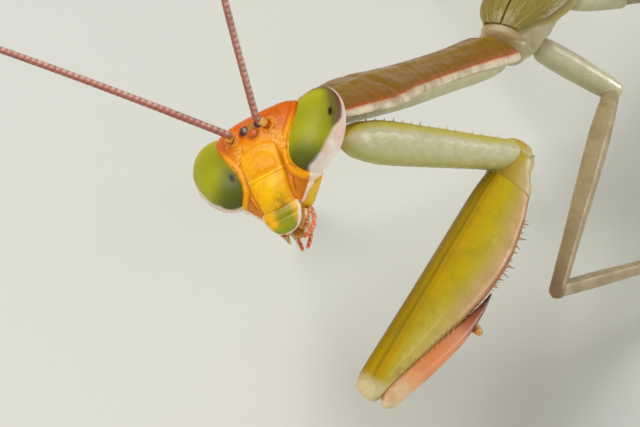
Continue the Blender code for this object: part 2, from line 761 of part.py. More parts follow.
def foreleg(label, pose, front, rearward):
    """One raptorial leg, from its hip under the shield to its folded foot."""
    top = frame_along(rearward, UP)[1]
    left = Vector((1.0, 0.0, 0.0))
    hip = front + rearward * FORE_HIP.y + left * (FORE_HIP.x * pose["hand"]) + top * FORE_HIP.z
    coxa_aim = direction(*pose["coxa"])
    ankle = hip + coxa_aim * FORE_COXA
    femur_aim = direction(*pose["femur"])
    apart = (coxa_aim + femur_aim * -coxa_aim.dot(femur_aim)).normalized() * pose["shift"]
    root = ankle + apart
    knee = root + femur_aim * FORE_FEMUR
    down = (-UP - femur_aim * (-UP).dot(femur_aim)).normalized()
    across = femur_aim.cross(down).normalized()
    roll = math.radians(pose["roll"])
    under = (down * math.cos(roll) + across * math.sin(roll)).normalized()
    rows = [(along, half, deep, deep) for along, half, deep in FORE_COXA_STATIONS]
    hinge = femur_aim.cross(coxa_aim).normalized()
    coxa_body = loft_along(hip, ankle, coxa_aim.cross(hinge), rows, 12, 2.4)
    coxa = add_part(f"fore_coxa_{label}", coxa_body, SHELL_CREAM)
    notch = trochanter_hull(ankle, root, femur_aim, under, JOINT_GAP, TROCHANTER_REACH + 1.5)
    cut_from(coxa, notch, f"fore_notch_{label}")
    hinge_ball = trochanter_hull(ankle, root, femur_aim, under, 0.0, TROCHANTER_REACH)
    add_part(f"fore_trochanter_{label}", hinge_ball, SHELL_CREAM)
    fore_femur(f"fore_femur_{label}", root, knee, under)
    fore_tibia(f"fore_tibia_{label}", knee, -femur_aim, under)
    foot_root = knee - femur_aim * TARSUS_ROOT[0] + under * TARSUS_ROOT[1]
    fore_tarsus(f"fore_tarsus_{label}", foot_root, under, direction(*pose["tarsus"]))


# --- walking legs ----------------------------------------------------------------------------
# hip: distance behind the waist, side, height; coxa and femur: (turn, rise); tibia and tarsus:
# turn; lengths: coxa, femur, tibia, tarsus
WALKING_LEGS = {
    "mid_left": {"hip": (2.3, 1.0, -1.2), "coxa": (134.4, -44.6), "femur": (12.0, -8.6),
                 "tibia": 169.0, "tarsus": 60.0, "lengths": (5.33, 14.0, 13.0, 5.0)},
    "mid_right": {"hip": (2.3, -1.0, -1.2), "coxa": (-144.4, -45.0), "femur": (-24.0, 12.0),
                  "tibia": -150.0, "tarsus": -115.0, "lengths": (5.33, 14.0, 13.0, 5.0)},
    "hind_left": {"hip": (6.3, 1.0, -1.2), "coxa": (172.0, -30.0), "femur": (118.0, 8.0),
                  "tibia": 163.0, "tarsus": 150.0, "lengths": (5.27, 17.0, 19.0, 5.6)},
    "hind_right": {"hip": (6.3, -1.0, -1.2), "coxa": (-148.8, -49.6), "femur": (-130.0, 14.0),
                   "tibia": -164.0, "tarsus": -150.0, "lengths": (5.27, 17.0, 19.0, 5.6)},
}
COXA_RADII = (0.62, 0.68, 0.64, 0.56)
WALKING_FEMUR_RADII = (0.44, 0.60, 0.55, 0.46, 0.42)
WALKING_TIBIA_RADII = (0.36, 0.40, 0.36, 0.34, 0.34)
JOINT_OVERRUN = 0.50


def rod_body(start, end, radii, swell):
    """A straight leg segment with rounded ends; the radii are spaced evenly along it."""
    span = (end - start).length + 2.0 * swell
    first = radii[0] + swell
    last = radii[-1] + swell
    rows = [(0.0, 0.45 * first), (0.22 * first, 0.82 * first)]
    for index, radius in enumerate(radii):
        share = index / (len(radii) - 1)
        rows.append((between(0.75 * first, span - 0.75 * last, share), radius + swell))
    rows += [(span - 0.22 * last, 0.82 * last), (span, 0.45 * last)]
    back = (start - end).normalized() * swell
    stations = [(along, radius * 0.94, radius, radius) for along, radius in rows]
    return loft_along(start + back, end, UP, stations, 8)


def walking_leg(label, leg, waist, rearward, segment):
    """One slender leg: coxa, femur, tibia, and a tarsus that lies flat on the ground."""
    top = frame_along(rearward, UP)[1]
    back, out, high = leg["hip"]
    coxa_length, femur_length, tibia_length, tarsus_length = leg["lengths"]
    hip = waist + rearward * back + Vector((out, 0.0, 0.0)) + top * high
    coxa_aim = direction(*leg["coxa"])
    joint = hip + coxa_aim * coxa_length
    femur_aim = direction(*leg["femur"])
    knee = joint + femur_aim * femur_length
    drop = math.degrees(math.asin((ANKLE_HEIGHT - knee.z) / tibia_length))
    ankle = knee + direction(leg["tibia"], drop) * tibia_length
    coxa_end = joint + coxa_aim * JOINT_OVERRUN
    femur_end = knee + femur_aim * JOINT_OVERRUN * 0.8
    add_part(f"{label}_coxa", rod_body(hip, coxa_end, COXA_RADII, 0.0), SHELL_CREAM)
    cut_from(segment, rod_body(hip, coxa_end, COXA_RADII, JOINT_GAP), f"{label}_socket")
    femur = add_part(f"{label}_femur", rod_body(joint, femur_end, WALKING_FEMUR_RADII, 0.0), SHELL_BROWN)
    cut_from(femur, rod_body(hip, coxa_end, COXA_RADII, JOINT_GAP), f"{label}_hip_notch")
    tibia = add_part(f"{label}_tibia", rod_body(knee, ankle, WALKING_TIBIA_RADII, 0.0), SHELL_BROWN)
    cut_from(tibia, rod_body(joint, femur_end, WALKING_FEMUR_RADII, JOINT_GAP), f"{label}_knee_notch")
    tarsus(f"{label}_tarsus", ankle, leg["tarsus"], tarsus_length)


def tarsus(name, ankle, turn, length):
    """The foot: five joints and a pair of claws, flat on the ground along its whole length."""
    ahead = direction(turn, 0.0)
    side = direction(turn + 90.0, 0.0)
    start = Vector((ankle.x, ankle.y, 0.0))
    rings = []
    for joint in range(FOOT_JOINTS):
        for step, swell in JOINT_SWELLING:
            along = length * (joint + step) / FOOT_JOINTS
            half = FOOT_HALF_WIDTH * swell
            height = FOOT_HEIGHT * swell
            outline = [(-half, 0.0), (-half, height * 0.6), (-half * 0.5, height),
                       (half * 0.5, height), (half, height * 0.6), (half, 0.0)]
            rings.append(ring_at(start + ahead * along, side, UP, outline))
    foot = add_part(name, loft(rings), SHELL_BROWN)
    claws = bmesh.new()
    tip = start + ahead * (length * 0.94) + UP * CLAW_HEIGHT
    for hand in (1.0, -1.0):
        aim = direction(turn + CLAW_SPREAD * hand, -4.0)
        add_spine(claws, tip + side * (CLAW_SIDE * hand), aim, CLAW_RADIUS, CLAW_LENGTH)
    join_onto(foot, claws, name + "_claws")


def centre_over_origin():
    """Move the whole animal so that its bounding box stands centred on the origin."""
    bpy.context.view_layer.update()
    graph = bpy.context.evaluated_depsgraph_get()
    corners = []
    for part in ANIMAL.objects:
        if part.type == "MESH":
            shape = part.evaluated_get(graph)
            corners += [part.matrix_world @ Vector(corner) for corner in shape.bound_box]
    for axis in (0, 1):
        values = [corner[axis] for corner in corners]
        BODY.location[axis] -= (min(values) + max(values)) / 2.0


clear_scene()
ANIMAL = new_collection("praying_mantis")
CUTTERS = new_collection("cutters")
BODY = bpy.data.objects.new("body_frame", None)
ANIMAL.objects.link(BODY)

SHELL_ORANGE = finish("shell_orange", (0.80, 0.26, 0.02), 0.35)
SHELL_YELLOW = finish("shell_yellow", (0.85, 0.60, 0.02), 0.35)
SHELL_AMBER = finish("shell_amber", (0.75, 0.35, 0.08), 0.4)
SHELL_OCHRE = finish("shell_ochre", (0.36, 0.22, 0.03), 0.5)
SHELL_CREAM = finish("shell_cream", (0.62, 0.56, 0.38), 0.45)
SHELL_TAN = finish("shell_tan", (0.42, 0.33, 0.18), 0.5)
SHELL_OLIVE = finish("shell_olive", (0.32, 0.30, 0.07), 0.5)
SHELL_LIME = finish("shell_lime", (0.52, 0.46, 0.03), 0.4)
SHELL_SALMON = finish("shell_salmon", (0.75, 0.33, 0.16), 0.4)
SHELL_BROWN = finish("shell_brown", (0.35, 0.26, 0.15), 0.5)
WING_OLIVE = finish("wing_olive", (0.33, 0.27, 0.06), 0.55)
EYE_GREEN = finish("eye_green", (0.30, 0.34, 0.02), 0.15)
FEELER_RED = finish("feeler_red", (0.42, 0.12, 0.08), 0.45)

FORWARD = direction(0.0, PRONOTUM_RISE)
REARWARD = direction(180.0, ABDOMEN_RISE)
WAIST = Vector((0.0, 0.0, WAIST_HEIGHT))
SHIELD_FRONT = WAIST + FORWARD * PRONOTUM_LENGTH
HEAD = head_matrix(SHIELD_FRONT)

head_capsule(HEAD)
eyes(HEAD)
mouthparts(HEAD)
palps(HEAD)
antennae(HEAD)
neck(HEAD, SHIELD_FRONT, -FORWARD)
prothorax(SHIELD_FRONT, -FORWARD)
MID_SEGMENT = thorax_segment("mesothorax", THORAX_STATIONS, WAIST, REARWARD)
HIND_SEGMENT = thorax_segment("metathorax", METATHORAX_STATIONS, WAIST, REARWARD)
abdomen(WAIST, REARWARD)
tegmina(WAIST, REARWARD)
for side_name, fore_pose in FORELEG_POSES.items():
    foreleg(side_name, fore_pose, SHIELD_FRONT, -FORWARD)
for leg_name, leg_pose in WALKING_LEGS.items():
    leg_segment = MID_SEGMENT if leg_name.startswith("mid") else HIND_SEGMENT
    walking_leg(leg_name, leg_pose, WAIST, REARWARD, leg_segment)
centre_over_origin()
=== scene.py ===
"""Looks of the life-size praying mantis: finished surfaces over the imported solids, floor, light and camera.

Lengths inside the classes are millimetres in the animal's own frame: -Y ahead, +X its left side, +Z up,
with the waist joint as the start of both chains. Anatomy.to_world moves finished points into the frame
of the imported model. The head has a frame of its own: x to its left, y to its nape, z to its crown.
"""
from __future__ import annotations

import json
import logging
import math
from dataclasses import dataclass, field
from enum import Enum
from typing import Callable, ClassVar, Iterator, Sequence

import bmesh
import bpy
import numpy as np
from mathutils import Matrix, Vector, noise

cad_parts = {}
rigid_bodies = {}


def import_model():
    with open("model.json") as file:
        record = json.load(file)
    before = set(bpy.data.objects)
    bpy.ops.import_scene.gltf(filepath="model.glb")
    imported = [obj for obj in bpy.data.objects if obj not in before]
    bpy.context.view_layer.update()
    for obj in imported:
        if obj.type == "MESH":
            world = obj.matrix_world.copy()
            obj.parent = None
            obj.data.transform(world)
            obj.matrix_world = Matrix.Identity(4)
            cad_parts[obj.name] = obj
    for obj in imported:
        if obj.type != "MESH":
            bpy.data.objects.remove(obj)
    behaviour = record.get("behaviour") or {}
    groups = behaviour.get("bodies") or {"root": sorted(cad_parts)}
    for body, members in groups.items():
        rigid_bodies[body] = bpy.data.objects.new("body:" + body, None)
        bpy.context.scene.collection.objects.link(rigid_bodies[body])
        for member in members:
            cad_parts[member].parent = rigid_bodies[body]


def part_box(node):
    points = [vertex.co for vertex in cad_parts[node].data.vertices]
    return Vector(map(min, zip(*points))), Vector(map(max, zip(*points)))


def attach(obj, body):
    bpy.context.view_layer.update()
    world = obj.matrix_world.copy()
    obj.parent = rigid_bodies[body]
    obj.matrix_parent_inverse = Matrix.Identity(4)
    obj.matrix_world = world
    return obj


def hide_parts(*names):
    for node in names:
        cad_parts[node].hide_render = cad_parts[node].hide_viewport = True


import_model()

LOG = logging.getLogger("mantis")
MM = 0.001
FEELER_RINGS = 96
Array = np.ndarray
Place = tuple[float, float, float]
Colour = tuple[float, float, float]
Stations = Sequence[Sequence[float]]
Piece = bpy.types.Object
Socket = bpy.types.NodeSocket
UP = np.array((0.0, 0.0, 1.0))


class Hand(Enum):
    """The two sides of the animal, as the sign of X."""

    LEFT = 1.0
    RIGHT = -1.0

    @property
    def word(self) -> str:
        """The side's name as the solids' names end."""
        return self.name.lower()


# --- geometry helpers ------------------------------------------------------------------------
def heading(turn: float, rise: float) -> Array:
    """Unit vector of a heading.

    Args:
        turn: degrees from straight ahead towards the animal's left.
        rise: degrees above level.

    Returns:
        The direction as three numbers.
    """
    angle, lift = math.radians(turn), math.radians(rise)
    return np.array((math.sin(angle) * math.cos(lift), -math.cos(angle) * math.cos(lift), math.sin(lift)))


def unit(vector: Array) -> Array:
    """A vector scaled to length one."""
    return vector / np.linalg.norm(vector)


def square_to(ahead: Array, hint: Array) -> tuple[Array, Array]:
    """Side and top vectors square to a direction.

    Args:
        ahead: the direction.
        hint: where the top should lean.

    Returns:
        The side and the top, both of length one.
    """
    top = unit(hint - ahead * float(hint @ ahead))
    return np.cross(top, ahead), top


def step(value: Array, low: float, high: float) -> Array:
    """A smooth rise from 0 at low to 1 at high."""
    share = np.clip((value - low) / (high - low), 0.0, 1.0)
    return share * share * (3.0 - 2.0 * share)


def bell(value: Array, centre: float, width: float) -> Array:
    """A smooth bump of height one."""
    return np.exp(-(((value - centre) / width) ** 2))


def flowing(places: Array, known: Array, rows: Array) -> Array:
    """Monotone cubic values through table rows.

    Args:
        places: where the values are wanted.
        known: the rows' places, rising.
        rows: the table, one row per place.

    Returns:
        One row per wanted place.
    """
    gaps = np.diff(known)[:, None]
    slopes = np.diff(rows, axis=0) / gaps
    tangents = np.zeros_like(rows)
    tangents[1:-1] = np.where(slopes[:-1] * slopes[1:] > 0.0,
                              2.0 * slopes[:-1] * slopes[1:] / (slopes[:-1] + slopes[1:] + 1e-12), 0.0)
    tangents[0], tangents[-1] = slopes[0], slopes[-1]
    spot = np.clip(np.searchsorted(known, places, side="right") - 1, 0, len(known) - 2)
    gap = gaps[spot]
    t = ((places - known[spot])[:, None] / gap).clip(0.0, 1.0)
    near, far = rows[spot], rows[spot + 1]
    return ((2 * t ** 3 - 3 * t ** 2 + 1) * near + (t ** 3 - 2 * t ** 2 + t) * gap * tangents[spot]
            + (3 * t ** 2 - 2 * t ** 3) * far + (t ** 3 - t ** 2) * gap * tangents[spot + 1])


def deselect() -> None:
    """Leave nothing selected, so that an operator acts on new pieces only."""
    for shown in bpy.context.view_layer.objects:
        shown.select_set(False)


def pick(piece: Piece) -> None:
    """Select one piece and make it the active one."""
    deselect()
    piece.select_set(True)
    bpy.context.view_layer.objects.active = piece


def coordinates(piece: Piece) -> Array:
    """The vertices of a piece as rows of three numbers."""
    values = np.empty(len(piece.data.vertices) * 3, np.float64)
    piece.data.vertices.foreach_get("co", values)
    return values.reshape(-1, 3)


def place(piece: Piece, points: Array) -> None:
    """Put a piece's vertices at these points."""
    piece.data.vertices.foreach_set("co", points.astype(np.float32).ravel())
    piece.data.update()


def note(piece: Piece, name: str, values: Array) -> None:
    """Keep one number per vertex, for the finish to read.

    Args:
        piece: the mesh object.
        name: the attribute's name.
        values: one number per vertex.
    """
    layer = piece.data.attributes.get(name) or piece.data.attributes.new(name, "FLOAT", "POINT")
    layer.data.foreach_set("value", values.astype(np.float32))


def ball(name: str, around: int, rings: int) -> tuple[Piece, Array, Array]:
    """A round body to be drawn out into a limb or plate.

    Args:
        name: the piece's name.
        around: faces round the body.
        rings: faces from pole to pole.

    Returns:
        The object, each vertex's share of the way from the top pole, and its angle about the axis.
    """
    deselect()
    bpy.ops.mesh.primitive_uv_sphere_add(segments=around, ring_count=rings, radius=1.0, location=(0, 0, 0))
    piece = bpy.context.view_layer.objects.active
    piece.name = name
    piece.data.name = name
    points = coordinates(piece)
    share = np.arccos(np.clip(points[:, 2], -1.0, 1.0)) / math.pi
    return piece, share, np.arctan2(points[:, 1], points[:, 0])


def superellipse(angle: Array, squareness: float) -> tuple[Array, Array]:
    """Side and up shares of a rounded section at these angles."""
    power = 2.0 / squareness
    side, rise = np.cos(angle), np.sin(angle)
    return np.sign(side) * np.abs(side) ** power, np.sign(rise) * np.abs(rise) ** power


def turned_outwards(piece: Piece) -> None:
    """Point all of a closed piece's faces outwards."""
    shape = bmesh.new()
    shape.from_mesh(piece.data)
    bmesh.ops.recalc_face_normals(shape, faces=shape.faces)
    shape.to_mesh(piece.data)
    shape.free()


def joined(pieces: Sequence[Piece], name: str) -> Piece:
    """Several pieces made one.

    Args:
        pieces: the mesh objects.
        name: the new piece's name.

    Returns:
        The joined object.
    """
    deselect()
    for piece in pieces:
        piece.select_set(True)
    bpy.context.view_layer.objects.active = pieces[0]
    bpy.ops.object.join()
    whole = bpy.context.view_layer.objects.active
    whole.name = name
    whole.data.name = name
    return whole


def smooth(piece: Piece, degrees: float = 50.0) -> None:
    """Shade a piece smooth, with sharp edges above an angle."""
    pick(piece)
    bpy.ops.object.shade_smooth_by_angle(angle=math.radians(degrees))


# --- the animal's frames ---------------------------------------------------------------------
@dataclass
class Anatomy:
    """Where the chains of the body start and point."""

    waist_height: float = 13.0
    pronotum_length: float = 20.0
    pronotum_rise: float = 25.0
    abdomen_rise: float = 5.0
    head_offset: Place = (-0.20, -4.22, 0.55)
    head_turn: float = -7.2
    head_nod: float = -44.6
    head_tilt: float = -42.0
    shift: Array = field(default_factory=lambda: np.zeros(3))

    def __post_init__(self) -> None:
        self.waist = np.array((0.0, 0.0, self.waist_height))
        self.forward = heading(0.0, self.pronotum_rise)
        self.rearward = heading(180.0, self.abdomen_rise)
        self.front = self.waist + self.forward * self.pronotum_length
        turn = Matrix.Rotation(math.radians(self.head_turn), 3, "Z")
        nod = Matrix.Rotation(math.radians(self.head_nod), 3, "X")
        tilt = Matrix.Rotation(math.radians(self.head_tilt), 3, "Y")
        self.head_axes = np.array(turn @ nod @ tilt)
        self.head_origin = self.front + np.array(self.head_offset)
        low_left, high_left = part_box("eye_left")
        low_right, high_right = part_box("eye_right")
        eyes = np.array(low_left + high_left + low_right + high_right) / 4.0 / MM
        middle = self.from_head(np.array((0.0, Eyes.centre[1], Eyes.centre[2])))
        self.shift = eyes - middle
        self.shift[2] = 0.0

    def from_head(self, points: Array) -> Array:
        """Points of the head's frame in the body's frame."""
        return points @ self.head_axes.T + self.head_origin

    def to_world(self, points: Array) -> Array:
        """Points of the body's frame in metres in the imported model's frame."""
        return (points + self.shift) * MM


# --- shader graphs ---------------------------------------------------------------------------
class Graph:
    """A small hand for laying out one material's nodes."""

    def __init__(self, tree: bpy.types.NodeTree) -> None:
        self.tree = tree

    def node(self, kind: str, **settings: object) -> bpy.types.Node:
        """Add a node with its plain settings."""
        made = self.tree.nodes.new(kind)
        for name, value in settings.items():
            setattr(made, name, value)
        return made

    def feed(self, socket: Socket, value: object) -> None:
        """Link a socket into another, or set its constant."""
        if isinstance(value, Socket):
            self.tree.links.new(value, socket)
        elif isinstance(value, tuple) and len(value) == 3 and socket.type == "RGBA":
            socket.default_value = (*value, 1.0)
        else:
            socket.default_value = value

    def note(self, name: str) -> Socket:
        """The numbers kept on the vertices under a name."""
        return self.node("ShaderNodeAttribute", attribute_name=name).outputs["Fac"]

    def place(self) -> Socket:
        """Object coordinates."""
        return self.node("ShaderNodeTexCoord").outputs["Object"]

    def math(self, work: str, first: object, second: object = 0.0, clamp: bool = False) -> Socket:
        """One arithmetic step."""
        made = self.node("ShaderNodeMath", operation=work, use_clamp=clamp)
        self.feed(made.inputs[0], first)
        self.feed(made.inputs[1], second)
        return made.outputs[0]

    def span(self, value: object, low: float, high: float, to_low: float = 0.0,
             to_high: float = 1.0) -> Socket:
        """A smooth step of a value from one range to another."""
        made = self.node("ShaderNodeMapRange", interpolation_type="SMOOTHSTEP")
        for socket, number in zip(made.inputs[:5], (value, low, high, to_low, to_high)):
            self.feed(socket, number)
        return made.outputs[0]

    def mix(self, share: object, first: object, second: object) -> Socket:
        """Two colours mixed."""
        made = self.node("ShaderNodeMix", data_type="RGBA", clamp_factor=True)
        self.feed(made.inputs[0], share)
        self.feed(made.inputs[6], first)
        self.feed(made.inputs[7], second)
        return made.outputs[2]

    def noise(self, scale: float, detail: float = 3.0, rough: float = 0.55,
              stretch: Place | None = None) -> Socket:
        """Cloudy noise in object space; the scale is in features per metre."""
        made = self.node("ShaderNodeTexNoise")
        source = self.place()
        if stretch is not None:
            mapping = self.node("ShaderNodeMapping")
            self.feed(mapping.inputs["Vector"], source)
            mapping.inputs["Scale"].default_value = stretch
            source = mapping.outputs[0]
        self.feed(made.inputs["Vector"], source)
        made.inputs["Scale"].default_value = scale
        made.inputs["Detail"].default_value = detail
        made.inputs["Roughness"].default_value = rough
        return made.outputs["Fac"]

    def cells(self, scale: float) -> Socket:
        """Distance to the nearest of many scattered cells in object space."""
        made = self.node("ShaderNodeTexVoronoi", feature="F1")
        self.feed(made.inputs["Vector"], self.place())
        made.inputs["Scale"].default_value = scale
        return made.outputs["Distance"]

    def ramp(self, value: object, stops: Sequence[tuple[float, Colour]]) -> Socket:
        """A colour ramp."""
        made = self.node("ShaderNodeValToRGB")
        made.color_ramp.interpolation = "EASE"
        while len(made.color_ramp.elements) < len(stops):
            made.color_ramp.elements.new(0.5)
        for element, (position, colour) in zip(made.color_ramp.elements, stops):
            element.position = position
            element.color = (*colour, 1.0)
        self.feed(made.inputs[0], value)
        return made.outputs[0]

    def bump(self, height: object, depth: float) -> Socket:
        """A bumped normal; the depth is in metres."""
        made = self.node("ShaderNodeBump")
        made.inputs["Strength"].default_value = 1.0
        made.inputs["Distance"].default_value = depth
        self.feed(made.inputs["Height"], height)
        return made.outputs[0]

    def group(self, tree: bpy.types.NodeTree, **values: object) -> bpy.types.Node:
        """Place a shared effect with its own values."""
        made = self.node("ShaderNodeGroup", node_tree=tree)
        for name, value in values.items():
            self.feed(made.inputs[name.replace("_", " ").capitalize()], value)
        return made


class Effects:
    """Shared effects, each a node group built once."""

    _made: dict[str, bpy.types.NodeTree] = {}

    @classmethod
    def _tree(cls, name: str, takes: dict[str, tuple[str, object]],
              gives: dict[str, str]) -> bpy.types.NodeTree:
        """A new group with named sockets."""
        tree = bpy.data.node_groups.new(name, "ShaderNodeTree")
        for label, (kind, value) in takes.items():
            socket = tree.interface.new_socket(name=label, in_out="INPUT", socket_type=kind)
            socket.default_value = value
        for label, kind in gives.items():
            tree.interface.new_socket(name=label, in_out="OUTPUT", socket_type=kind)
        return tree

    @classmethod
    def cuticle(cls) -> bpy.types.NodeTree:
        """Mottled insect skin: a cloudy drift between two colours, small specks, and a fine height.

        Returns:
            The group, giving Colour, Height and Gloss.
        """
        if "cuticle" not in cls._made:
            tree = cls._tree("cuticle", {
                "Colour": ("NodeSocketColor", (0.5, 0.5, 0.5, 1.0)),
                "Shade": ("NodeSocketColor", (0.2, 0.2, 0.2, 1.0)),
                "Speck": ("NodeSocketColor", (0.8, 0.8, 0.8, 1.0)),
                "Mottle": ("NodeSocketFloat", 0.4),
                "Specks": ("NodeSocketFloat", 0.2),
            }, {"Colour": "NodeSocketColor", "Height": "NodeSocketFloat", "Gloss": "NodeSocketFloat"})
            graph = Graph(tree)
            source = graph.node("NodeGroupInput").outputs
            target = graph.node("NodeGroupOutput").inputs
            drift = graph.span(graph.noise(900.0, 4.0), 0.40, 0.68)
            fine = graph.noise(5200.0, 3.0, 0.6)
            dots = graph.span(graph.cells(3400.0), 0.26, 0.14)
            tone = graph.mix(
                graph.math("MULTIPLY", drift, source["Mottle"]), source["Colour"], source["Shade"])
            tone = graph.mix(graph.math("MULTIPLY", dots, source["Specks"]), tone, source["Speck"])
            tone = graph.mix(graph.span(fine, 0.35, 0.75, 0.0, 0.16), tone, source["Shade"])
            graph.feed(target["Colour"], tone)
            graph.feed(target["Height"], graph.math("ADD", fine, graph.math("MULTIPLY", dots, 0.35)))
            graph.feed(target["Gloss"], graph.span(drift, 0.0, 1.0, 0.30, 0.46))
            cls._made["cuticle"] = tree
        return cls._made["cuticle"]

    @classmethod
    def banding(cls) -> bpy.types.NodeTree:
        """Even rings along a limb: thin dark lines between pale beads.

        Returns:
            The group, giving Line, the mask of the lines, and Bead, a soft wave between them.
        """
        if "banding" not in cls._made:
            tree = cls._tree("banding", {
                "Along": ("NodeSocketFloat", 0.0),
                "Count": ("NodeSocketFloat", 10.0),
                "Width": ("NodeSocketFloat", 0.2),
            }, {"Line": "NodeSocketFloat", "Bead": "NodeSocketFloat"})
            graph = Graph(tree)
            source = graph.node("NodeGroupInput").outputs
            target = graph.node("NodeGroupOutput").inputs
            saw = graph.math("FRACT", graph.math("MULTIPLY", source["Along"], source["Count"]))
            away = graph.math("ABSOLUTE", graph.math("SUBTRACT", saw, 0.5))
            edge = graph.math("SUBTRACT", 0.5, away)
            line = graph.math("SUBTRACT", 1.0, graph.math("DIVIDE", edge, source["Width"]), True)
            graph.feed(target["Line"], line)
            graph.feed(target["Bead"], graph.math("SUBTRACT", 1.0, graph.math("MULTIPLY", away, 2.0)))
            cls._made["banding"] = tree
        return cls._made["banding"]


@dataclass(frozen=True)
class Finish:
    """One surface finish; a kind of finish overrides paint()."""

    name: str
    shade: Colour
    speck: Colour = (0.9, 0.85, 0.7)
    colour: Colour = (0.5, 0.5, 0.5)
    mottle: float = 0.45
    specks: float = 0.15
    roughness: float = 0.36
    coat: float = 0.25
    glow: float = 0.12
    gleam: float = 0.5
    depth: float = 0.000022

    def material(self) -> bpy.types.Material:
        """The finish as a material, made once.

        Returns:
            The material.
        """
        old = bpy.data.materials.get(self.name)
        if old is not None:
            return old
        made = bpy.data.materials.new(self.name)
        made.use_nodes = True
        shader = made.node_tree.nodes["Principled BSDF"]
        shader.inputs["Coat Weight"].default_value = self.coat
        shader.inputs["Coat Roughness"].default_value = 0.16
        shader.inputs["Specular IOR Level"].default_value = self.gleam
        shader.inputs["Subsurface Weight"].default_value = self.glow
        shader.inputs["Subsurface Radius"].default_value = (1.0, 0.6, 0.25)
        shader.inputs["Subsurface Scale"].default_value = 0.0005
        shader.inputs["Roughness"].default_value = self.roughness
        self.paint(Graph(made.node_tree), shader)
        return made

    def tint(self, graph: Graph) -> object:
        """The surface's own colour before the mottling."""
        return self.colour

    def cuticle(self, graph: Graph) -> bpy.types.Node:
        """The mottled cuticle over the tint."""
        return graph.group(Effects.cuticle(), colour=self.tint(graph), shade=self.shade, speck=self.speck,
                           mottle=self.mottle, specks=self.specks)

    def paint(self, graph: Graph, shader: bpy.types.Node) -> None:
        """Lay the cuticle on the shader.

        Args:
            graph: the material's nodes.
            shader: its Principled shader.
        """
        skin = self.cuticle(graph)
        height = self.relief(graph, skin.outputs["Height"])
        graph.feed(shader.inputs["Base Color"], skin.outputs["Colour"])
        graph.feed(shader.inputs["Roughness"], skin.outputs["Gloss"])
        graph.feed(shader.inputs["Normal"], graph.bump(height, self.depth))

    def relief(self, graph: Graph, height: object) -> object:
        """The height that the bump reads."""
        return height


def dress(piece: Piece, finish: Finish, nodes: Sequence[str] = ()) -> Piece:
    """Give a piece its finish and its place in the model.

    Args:
        piece: the finished mesh.
        finish: what it wears.
        nodes: the solids that it stands for.

    Returns:
        The piece.
    """
    piece.data.materials.clear()
    piece.data.materials.append(finish.material())
    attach(piece, "root")
    if nodes:
        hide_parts(*nodes)
    LOG.info("%s: %d faces", piece.name, len(piece.data.polygons))
    return piece


# --- paths and limbs -------------------------------------------------------------------------
@dataclass
class Path:
    """A smooth line through control points, measured by its length."""

    controls: Sequence[Array]
    samples: int = 160

    def __post_init__(self) -> None:
        rows = np.array(self.controls, float)
        if len(rows) > 2:
            padded = np.vstack([2 * rows[0] - rows[1], rows, 2 * rows[-1] - rows[-2]])
            places = np.linspace(0.0, len(rows) - 1.0, self.samples)
            spans = np.minimum(places.astype(int), len(rows) - 2)
            t = (places - spans)[:, None]
            p0, p1, p2, p3 = (padded[spans + index] for index in range(4))
            rows = 0.5 * (2 * p1 + (p2 - p0) * t + (2 * p0 - 5 * p1 + 4 * p2 - p3) * t ** 2
                          + (3 * p1 - p0 - 3 * p2 + p3) * t ** 3)
        self.points = rows
        gaps = np.linalg.norm(np.diff(rows, axis=0), axis=1)
        self.marks = np.concatenate([[0.0], np.cumsum(gaps)])

    @property
    def length(self) -> float:
        """The line's whole length."""
        return float(self.marks[-1])

    def at(self, distance: Array) -> tuple[Array, Array]:
        """Points and directions at distances from the start, also a little past both ends.

        Args:
            distance: how far along.

        Returns:
            The points and the unit directions.
        """
        slopes = np.diff(self.points, axis=0) / np.diff(self.marks)[:, None]
        middles = (self.marks[1:] + self.marks[:-1]) / 2.0
        within = np.clip(distance, 0.0, self.length)
        spot = np.stack([np.interp(within, self.marks, self.points[:, axis]) for axis in range(3)], axis=1)
        ahead = np.stack([np.interp(within, middles, slopes[:, axis]) for axis in range(3)], axis=1)
        ahead /= np.linalg.norm(ahead, axis=1)[:, None]
        return spot + ahead * (distance - within)[:, None], ahead


Relief = Callable[[Array, Array, Array], Array]
POLE_SHARE = 0.08
POLE_PACE = 0.35


def pole_pace(share: Array) -> Array:
    """How much closer the rings of a limb lie near its pole."""
    return POLE_PACE + (1.0 - POLE_PACE) * np.minimum(share / POLE_SHARE, 1.0)


